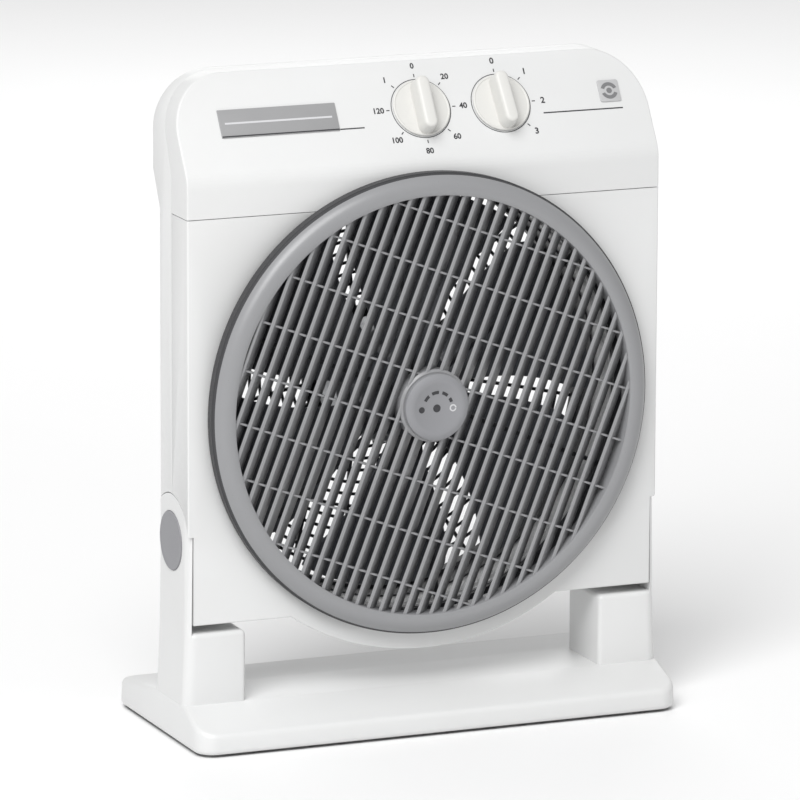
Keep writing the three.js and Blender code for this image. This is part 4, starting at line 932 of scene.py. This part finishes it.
zinc = metal("die_cast_zinc", (0.52, 0.53, 0.54), (0.40, 0.41, 0.42), 0.42, 700.0)
steel = metal("plated_steel", (0.62, 0.62, 0.61), (0.50, 0.50, 0.49), 0.28, 1500.0)
lamination = metal("varnished_laminations", (0.13, 0.13, 0.135), (0.09, 0.09, 0.095), 0.5, 2400.0)
copper = metal("winding_copper", (0.50, 0.22, 0.09), (0.38, 0.15, 0.06), 0.38, 2600.0)
bronze = metal("sintered_bronze", (0.44, 0.29, 0.12), (0.36, 0.23, 0.10), 0.5, 1900.0)
SHIELD_RADIUS = 0.043
for shield_node, towards in (("motor_front_shield", -1), ("motor_rear_shield", 1)):
    low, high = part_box(shield_node)
    nose = low.y if towards < 0 else high.y
    joint = high.y if towards < 0 else low.y
    face = nose - towards * 0.005
    shell = turned_ring(shield_node.replace("motor_", "motor_cast_"), [
        (0.0083, nose), (0.0105, nose), (0.0113, nose - towards * 0.0008), (0.0113, face),
        (SHIELD_RADIUS - 0.005, face), (SHIELD_RADIUS - 0.0015, face - towards * 0.001),
        (SHIELD_RADIUS, face - towards * 0.004), (SHIELD_RADIUS, joint),
        (SHIELD_RADIUS - 0.0017, joint), (SHIELD_RADIUS - 0.0017, face - towards * 0.004),
        (SHIELD_RADIUS - 0.003, face - towards * 0.003), (0.0083, face - towards * 0.003)], 96)
    for window in range(8):
        angle = window * pi / 4 + pi / 8
        hole = add_rod("window", (0.0255, face, 0), 0.0042, 0.02, "Y", 24)
        hole.data.transform(Matrix.Translation((0, 0, axis_z)) @ Matrix.Rotation(angle, 4, "Y"))
        combine(shell, hole, "DIFFERENCE")
    finish_piece(shell, zinc, "tilting_body", "zinc_shield", shield_node)

CARRIED_METALS = {
    "motor_shaft": steel, "armature": lamination, "stator_core": lamination, "stator_coil_front": copper,
    "stator_coil_rear": copper, "bearing_front": bronze, "bearing_rear": bronze, "grille_bush": bronze,
    "pivot_screw_left": steel, "pivot_screw_right": steel, "timer_spindle": steel, "speed_spindle": steel,
}


def refinish(node, material):
    """Gives a CAD node that stays in view its finish."""
    nodes[node].data.materials.clear()
    nodes[node].data.materials.append(material)


for node, material in CARRIED_METALS.items():
    refinish(node, material)
for side_name in ("left", "right"):
    refinish(f"pivot_bush_{side_name}", dark_plastic)
refinish("motor_lead", foot_rubber)


# ---- Rear grille ---------------------------------------------------------------------------------
# A dark domed guard: rings less than a finger's width apart on spokes, a rim that caps and lines the
# drum, and a plate that carries the motor. Four screws hold its lugs.

PLATE_RADIUS = 0.048
BAR = 0.0024
RIM_THICKNESS, EAR_RADIUS, MOTOR_POST_RADIUS = 0.003, 0.0076, 0.0045
rim_back = drum_back + RIM_THICKNESS
dome_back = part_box("rear_grille")[1].y


def dome_y(radius):
    out = (radius - PLATE_RADIUS) / (DRUM_RADIUS - 0.003 - PLATE_RADIUS)
    return rim_back + (dome_back - rim_back) * (1 - max(0.0, out) ** 2.2)


grille_parts = []
RING_STEPS = 11
for index in range(1, RING_STEPS + 1):
    radius = PLATE_RADIUS + index * (DRUM_RADIUS - 0.004 - PLATE_RADIUS) / (RING_STEPS + 1)
    bpy.ops.object.select_all(action="DESELECT")
    bpy.ops.mesh.primitive_torus_add(
        major_radius=radius, minor_radius=BAR / 2, major_segments=96, minor_segments=8,
        location=(0, dome_y(radius) - BAR * 0.75, axis_z), rotation=(pi / 2, 0, 0))
    grille_parts.append(settle(f"wire_{index}"))
SPOKES = 20
STATIONS = 12
spoke_start, spoke_end = PLATE_RADIUS - 0.003, DRUM_RADIUS - 0.003
for index in range(SPOKES):
    radii = [spoke_start + (spoke_end - spoke_start) * step / STATIONS for step in range(STATIONS + 1)]
    outline = [(radius, dome_y(radius)) for radius in radii] + [
        (radius, dome_y(radius) - 0.003) for radius in reversed(radii)]
    spoke = outline_prism("dome_spoke", outline, "X", -BAR / 2, BAR / 2)
    to_dome = Matrix(((0, 1, 0, 0), (0, 0, 1, 0), (1, 0, 0, 0), (0, 0, 0, 1)))
    spoke.data.transform(Matrix.Translation((0, 0, axis_z)) @ Matrix.Rotation(
        (index + 0.5) * 2 * pi / SPOKES, 4, "Y") @ to_dome)
    soften(spoke, 0.0005, 2, 50)
    grille_parts.append(spoke)
dome_rim = turned_ring("dome_rim", [
    (DRUM_RADIUS - 0.004, drum_back - 0.006), (DRUM_RADIUS - 0.0015, drum_back - 0.0075),
    (DRUM_RADIUS - 0.0015, body_back - 0.003), (DRUM_RADIUS - GAP, body_back - 0.003),
    (DRUM_RADIUS - GAP, drum_back + GAP), (DRUM_RADIUS + MOULDING_WALL, drum_back + GAP),
    (DRUM_RADIUS + MOULDING_WALL, rim_back - 0.0008), (DRUM_RADIUS + MOULDING_WALL - 0.0008, rim_back),
    (DRUM_RADIUS - 0.0035, rim_back), (DRUM_RADIUS - 0.004, rim_back - 0.0005)], 160)
plate = turned_ring("dome_plate", [
    (0, dome_back - 0.003), (PLATE_RADIUS, dome_back - 0.003), (PLATE_RADIUS, dome_back - 0.0008),
    (PLATE_RADIUS - 0.0008, dome_back), (0.037, dome_back), (0.036, dome_back - 0.0008),
    (0.012, dome_back - 0.0008), (0.011, dome_back), (0, dome_back)], 96)
post_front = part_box("motor_rear_shield")[1].y - 0.005 + GAP
for lug in range(1, 5):
    ear = rod_behind(f"ear_{lug}", f"grille_screw_{lug}", drum_back + GAP, rim_back, EAR_RADIUS, 40)
    soften(ear, 0.0006, 2, 50)
    grille_parts += [ear, rod_behind(f"motor_post_{lug}", f"motor_screw_{lug}", post_front,
                                     dome_back - 0.001, MOTOR_POST_RADIUS, 32)]
rear_grille = join_pieces(dome_rim, plate, *grille_parts)
rear_grille.name = "rear_dome"
finish_piece(rear_grille, dark_plastic, "tilting_body", "dark_plastic", "rear_grille", smooth=40)

# Pan-head screws with a cross recess: one is modelled and copied to each place.
SCREW_HEAD, SCREW_SHANK = 0.0036, 0.0017
bpy.ops.object.select_all(action="DESELECT")
bpy.ops.mesh.primitive_uv_sphere_add(segments=32, ring_count=16, radius=SCREW_HEAD, scale=(1, 0.61, 1),
                                     rotation=(pi / 2, 0, 0))
screw = settle("screw")
combine(screw, add_block("under", (-0.01, -0.01, -0.01), (0.01, 0, 0.01)), "DIFFERENCE")
for turn in (0, pi / 2):
    groove = add_block("groove", (-0.0019, 0.0009, -0.00035), (0.0019, 0.004, 0.00035))
    groove.data.transform(Matrix.Rotation(turn, 4, "Y"))
    combine(screw, groove, "DIFFERENCE")
shank = add_rod("shank", (0, -0.0045, 0), SCREW_SHANK, 0.009, "Y", 24)
join_pieces(screw, shank)
HEAD_RISE = 0.0022
for node in SCREW_NODES + [f"{held}_screw_{i}" for held in ("grille", "motor") for i in range(1, 5)]:
    centre, high = middle_of(node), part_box(node)[1]
    fastener = copy_piece(screw, node.replace("screw", "fastener"))
    turn = Matrix.Rotation(high.x * 37 + high.z * 61, 4, "Y")  # no two slots stand the same way
    fastener.data.transform(Matrix.Translation((centre.x, high.y - HEAD_RISE, centre.z)) @ turn)
    finish_piece(fastener, steel, "tilting_body", "screw_steel", node)
bpy.data.objects.remove(screw)


# ---- Controls ------------------------------------------------------------------------------------
# Two cream knobs, each a flat disc with a raised bar across it, push on to spindles that come through
# the sloping panel. The timer and the speed switch sit behind it.

KNOB_RADIUS = 0.0211
KNOB_UP = 0.043
DISC_BACK, DISC_FRONT = 0.0004, 0.0022
GRIP_FRONT = 0.0148
GRIP_WIDTH = 0.0115
GRIP_TAPER, GRIP_END_TAPER, GRIP_ROUND = 0.84, 0.97, 0.0022
cream_plastic = moulded_plastic("cream_plastic", (0.685, 0.68, 0.655), (0.65, 0.645, 0.62), 0.42)


def panel_place(x, up):
    """Turns the XY plane into the sloping panel, with its Z out of the panel."""
    origin = Vector((x, body_front + up * sin(PANEL_LEAN), bend_z + up * cos(PANEL_LEAN)))
    rise, run = cos(PANEL_LEAN), sin(PANEL_LEAN)
    columns = Matrix(((1, 0, 0), (0, run, -rise), (0, rise, run)))
    return Matrix.Translation(origin) @ columns.to_4x4()


# each knob's place along the panel, and how far it stands off its mark
KNOB_PLACES = {"timer": (middle_of("timer_knob").x, 0.0), "speed": (middle_of("speed_knob").x, radians(3))}
for control, (knob_x, knob_turn) in KNOB_PLACES.items():
    disc = add_rod(f"{control}_dial", (0, 0, (DISC_BACK + DISC_FRONT) / 2), KNOB_RADIUS,
                   DISC_FRONT - DISC_BACK, "Z", 120)
    inset_steps(disc, lambda centre, normal: normal.z > 0.9, (0.0011, 0), (0.0006, -0.0004))
    soften(disc, 0.0007, 3, 50)
    half = KNOB_RADIUS - 0.001
    bar = add_block("bar", (-GRIP_WIDTH / 2, -half, DISC_FRONT - 0.001), (GRIP_WIDTH / 2, half, GRIP_FRONT))
    select_edges(bar, lambda a, b: near(a.x, b.x) and near(a.y, b.y))
    round_selected(GRIP_WIDTH / 2 - 0.0004, 8)
    for vertex in bar.data.vertices:
        if vertex.co.z > GRIP_FRONT - NEAR:
            vertex.co.x *= GRIP_TAPER
            vertex.co.y *= GRIP_END_TAPER
    select_faces(bar, lambda centre, normal: normal.z > 0.9)
    round_selected(GRIP_ROUND, 4)
    combine(disc, bar, "UNION")
    disc.data.transform(panel_place(knob_x, KNOB_UP) @ Matrix.Rotation(knob_turn, 4, "Z"))
    finish_piece(disc, cream_plastic, f"{control}_control", "cream_knob", f"{control}_knob")

phenolic = moulded_plastic("brown_phenolic", (0.12, 0.06, 0.035), (0.09, 0.045, 0.028), 0.5)
for node in ("timer_mechanism", "speed_switch"):
    refinish(node, phenolic)
refinish("run_capacitor", white_plastic)
refinish("cord_inlet_bush", dark_plastic)

# On the panel: printed dial ticks and numbers, a thin dark circle just outside each knob's rim, and a printed
# line each side.
TICK_INNER, TICK_OUTER, TICK_WIDTH = 0.0238, 0.0262, 0.0007
PRINT_BOLDNESS = 0.00016


def turned_point(x, y, angle):
    return (x * cos(angle) + y * sin(angle), y * cos(angle) - x * sin(angle))


def tick(angle, inner=TICK_INNER, outer=TICK_OUTER, width=TICK_WIDTH):
    """A radial stroke; the angle runs clockwise from the top."""
    corners = [(-width / 2, inner), (width / 2, inner), (width / 2, outer), (-width / 2, outer)]
    return [turned_point(x, y, radians(angle)) for x, y in corners]


def print_text(name, text, size, x, y, place):
    """Small raised print of a number, centred on its place in the panel's plane."""
    bpy.ops.object.select_all(action="DESELECT")
    bpy.ops.object.text_add(location=(0, 0, 0))
    label = bpy.context.object
    label.name = name
    label.data.body = text
    label.data.size = size
    label.data.extrude = PRINT_THICKNESS / 2
    label.data.offset = PRINT_BOLDNESS
    label.data.align_x, label.data.align_y = "CENTER", "CENTER"
    label.data.resolution_u = 3
    bpy.ops.object.convert(target="MESH")
    label.data.transform(place @ Matrix.Translation((x, y, PRINT_LIFT + PRINT_THICKNESS / 2)))
    return label


# each dial's step in degrees, its labels and their height
DIALS = {
    "timer": (45, ["0", "20", "40", "60", "80", "100", "120", "I"], 0.0058),
    "speed": (45, ["0", "1", "2", "3"], 0.0064),
}
LABEL_RADIUS, CIRCLE_RADIUS, CIRCLE_WIDTH = 0.0322, 0.0221, 0.0005
for control, (step, labels, size) in DIALS.items():
    place = panel_place(KNOB_PLACES[control][0], KNOB_UP)
    ticks = [tick(index * step) for index in range(len(labels))]
    printed(f"{control}_ticks", ticks, place, dark_ink, "tilting_body", "white_housing")
    # A thin dark ring drawn 1 mm outside each knob's edge, where the knob meets the panel.
    circle = [arc_band(CIRCLE_RADIUS, CIRCLE_WIDTH, start, start + 180, 40) for start in (0, 180)]
    printed(f"{control}_circle", circle, place, dark_ink, "tilting_body", "white_housing")
    numbers = []
    for index, text in enumerate(labels):
        x, y = turned_point(0, LABEL_RADIUS, radians(index * step))
        numbers.append(print_text(f"{control}_number", text, size, x, y, place))
    dial = join_pieces(*numbers)
    dial.name = f"{control}_numbers"
    finish_piece(dial, dark_ink, "tilting_body", "white_housing")

# Two thin plates stuck to the panel. They carry a plain band and a simple disc in place of any mark.
plate_grey = moulded_plastic("plate_grey", (0.34, 0.34, 0.345), (0.3, 0.3, 0.305), 0.4)
name_low, name_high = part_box("name_plate")
mark_low, mark_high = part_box("mark_plate")
PLATE_THICKNESS = 0.0008


def panel_up(z):
    return (z - bend_z) / cos(PANEL_LEAN)


def stuck_plate(name, low, high, corner):
    """A thin rounded plate between two corners of its CAD box, on the slope."""
    bottom, top = panel_up(low.z - 0.0002), panel_up(high.z - 0.0006)
    plate = add_block(name, (low.x, bottom, 0.0001), (high.x, top, 0.0001 + PLATE_THICKNESS))
    select_edges(plate, lambda a, b: near(a.x, b.x) and near(a.y, b.y))
    round_selected(corner, 5)
    soften(plate, 0.00025, 2, 60)
    plate.data.transform(panel_place(0, 0))
    return plate, bottom, top


name_band, name_bottom, name_top = stuck_plate("name_band", name_low, name_high, 0.0006)
finish_piece(name_band, plate_grey, "tilting_body", "grey_plate", "name_plate")
mark_tile, mark_bottom, mark_top = stuck_plate("mark_tile", mark_low, mark_high, 0.0016)
tile_grey = moulded_plastic("tile_grey", (0.5, 0.5, 0.505), (0.46, 0.46, 0.465), 0.45)
finish_piece(mark_tile, tile_grey, "tilting_body", "grey_plate", "mark_plate")
panel_origin = panel_place(0, 0)
on_plates = panel_origin @ Matrix.Translation((0, 0, PLATE_THICKNESS + 0.0001))
mark_x, mark_y = (mark_low.x + mark_high.x) / 2, (mark_bottom + mark_top) / 2
mark_shapes = [[(mark_x + x, mark_y + y) for x, y in band] for band in (
    arc_band(0.0050, 0.0026, 20, 160), arc_band(0.0050, 0.0026, 200, 340), disc_outline(0, 0, 0.0021))]
grey_ink = moulded_plastic("grey_ink", (0.2, 0.2, 0.205), (0.17, 0.17, 0.175), 0.5)
printed("mark_print", mark_shapes, on_plates, grey_ink, "tilting_body", "grey_plate")


def strip(left, right, bottom, width):
    """A straight stroke along the panel."""
    return [(left, bottom), (right, bottom), (right, bottom + width), (left, bottom + width)]


LINE_WIDTH, BAND_WIDTH = 0.0009, 0.0014
name_middle = (name_bottom + name_top) / 2
band = strip(name_low.x + 0.004, name_high.x - 0.004, name_middle - BAND_WIDTH / 2, BAND_WIDTH)
printed("name_band_line", [band], on_plates, pale_ink, "tilting_body", "grey_plate")
foot = strip(name_low.x + 0.0003, name_high.x - 0.0003, name_bottom + 0.0004, LINE_WIDTH)
printed("name_band_foot", [foot], on_plates, dark_ink, "tilting_body", "grey_plate")
panel_lines = [strip(name_high.x + 0.0005, -0.0398, 0.0310, LINE_WIDTH),
               strip(0.0968, 0.1580, 0.0330, LINE_WIDTH)]
printed("panel_lines", panel_lines, panel_origin, dark_ink, "tilting_body", "white_housing")
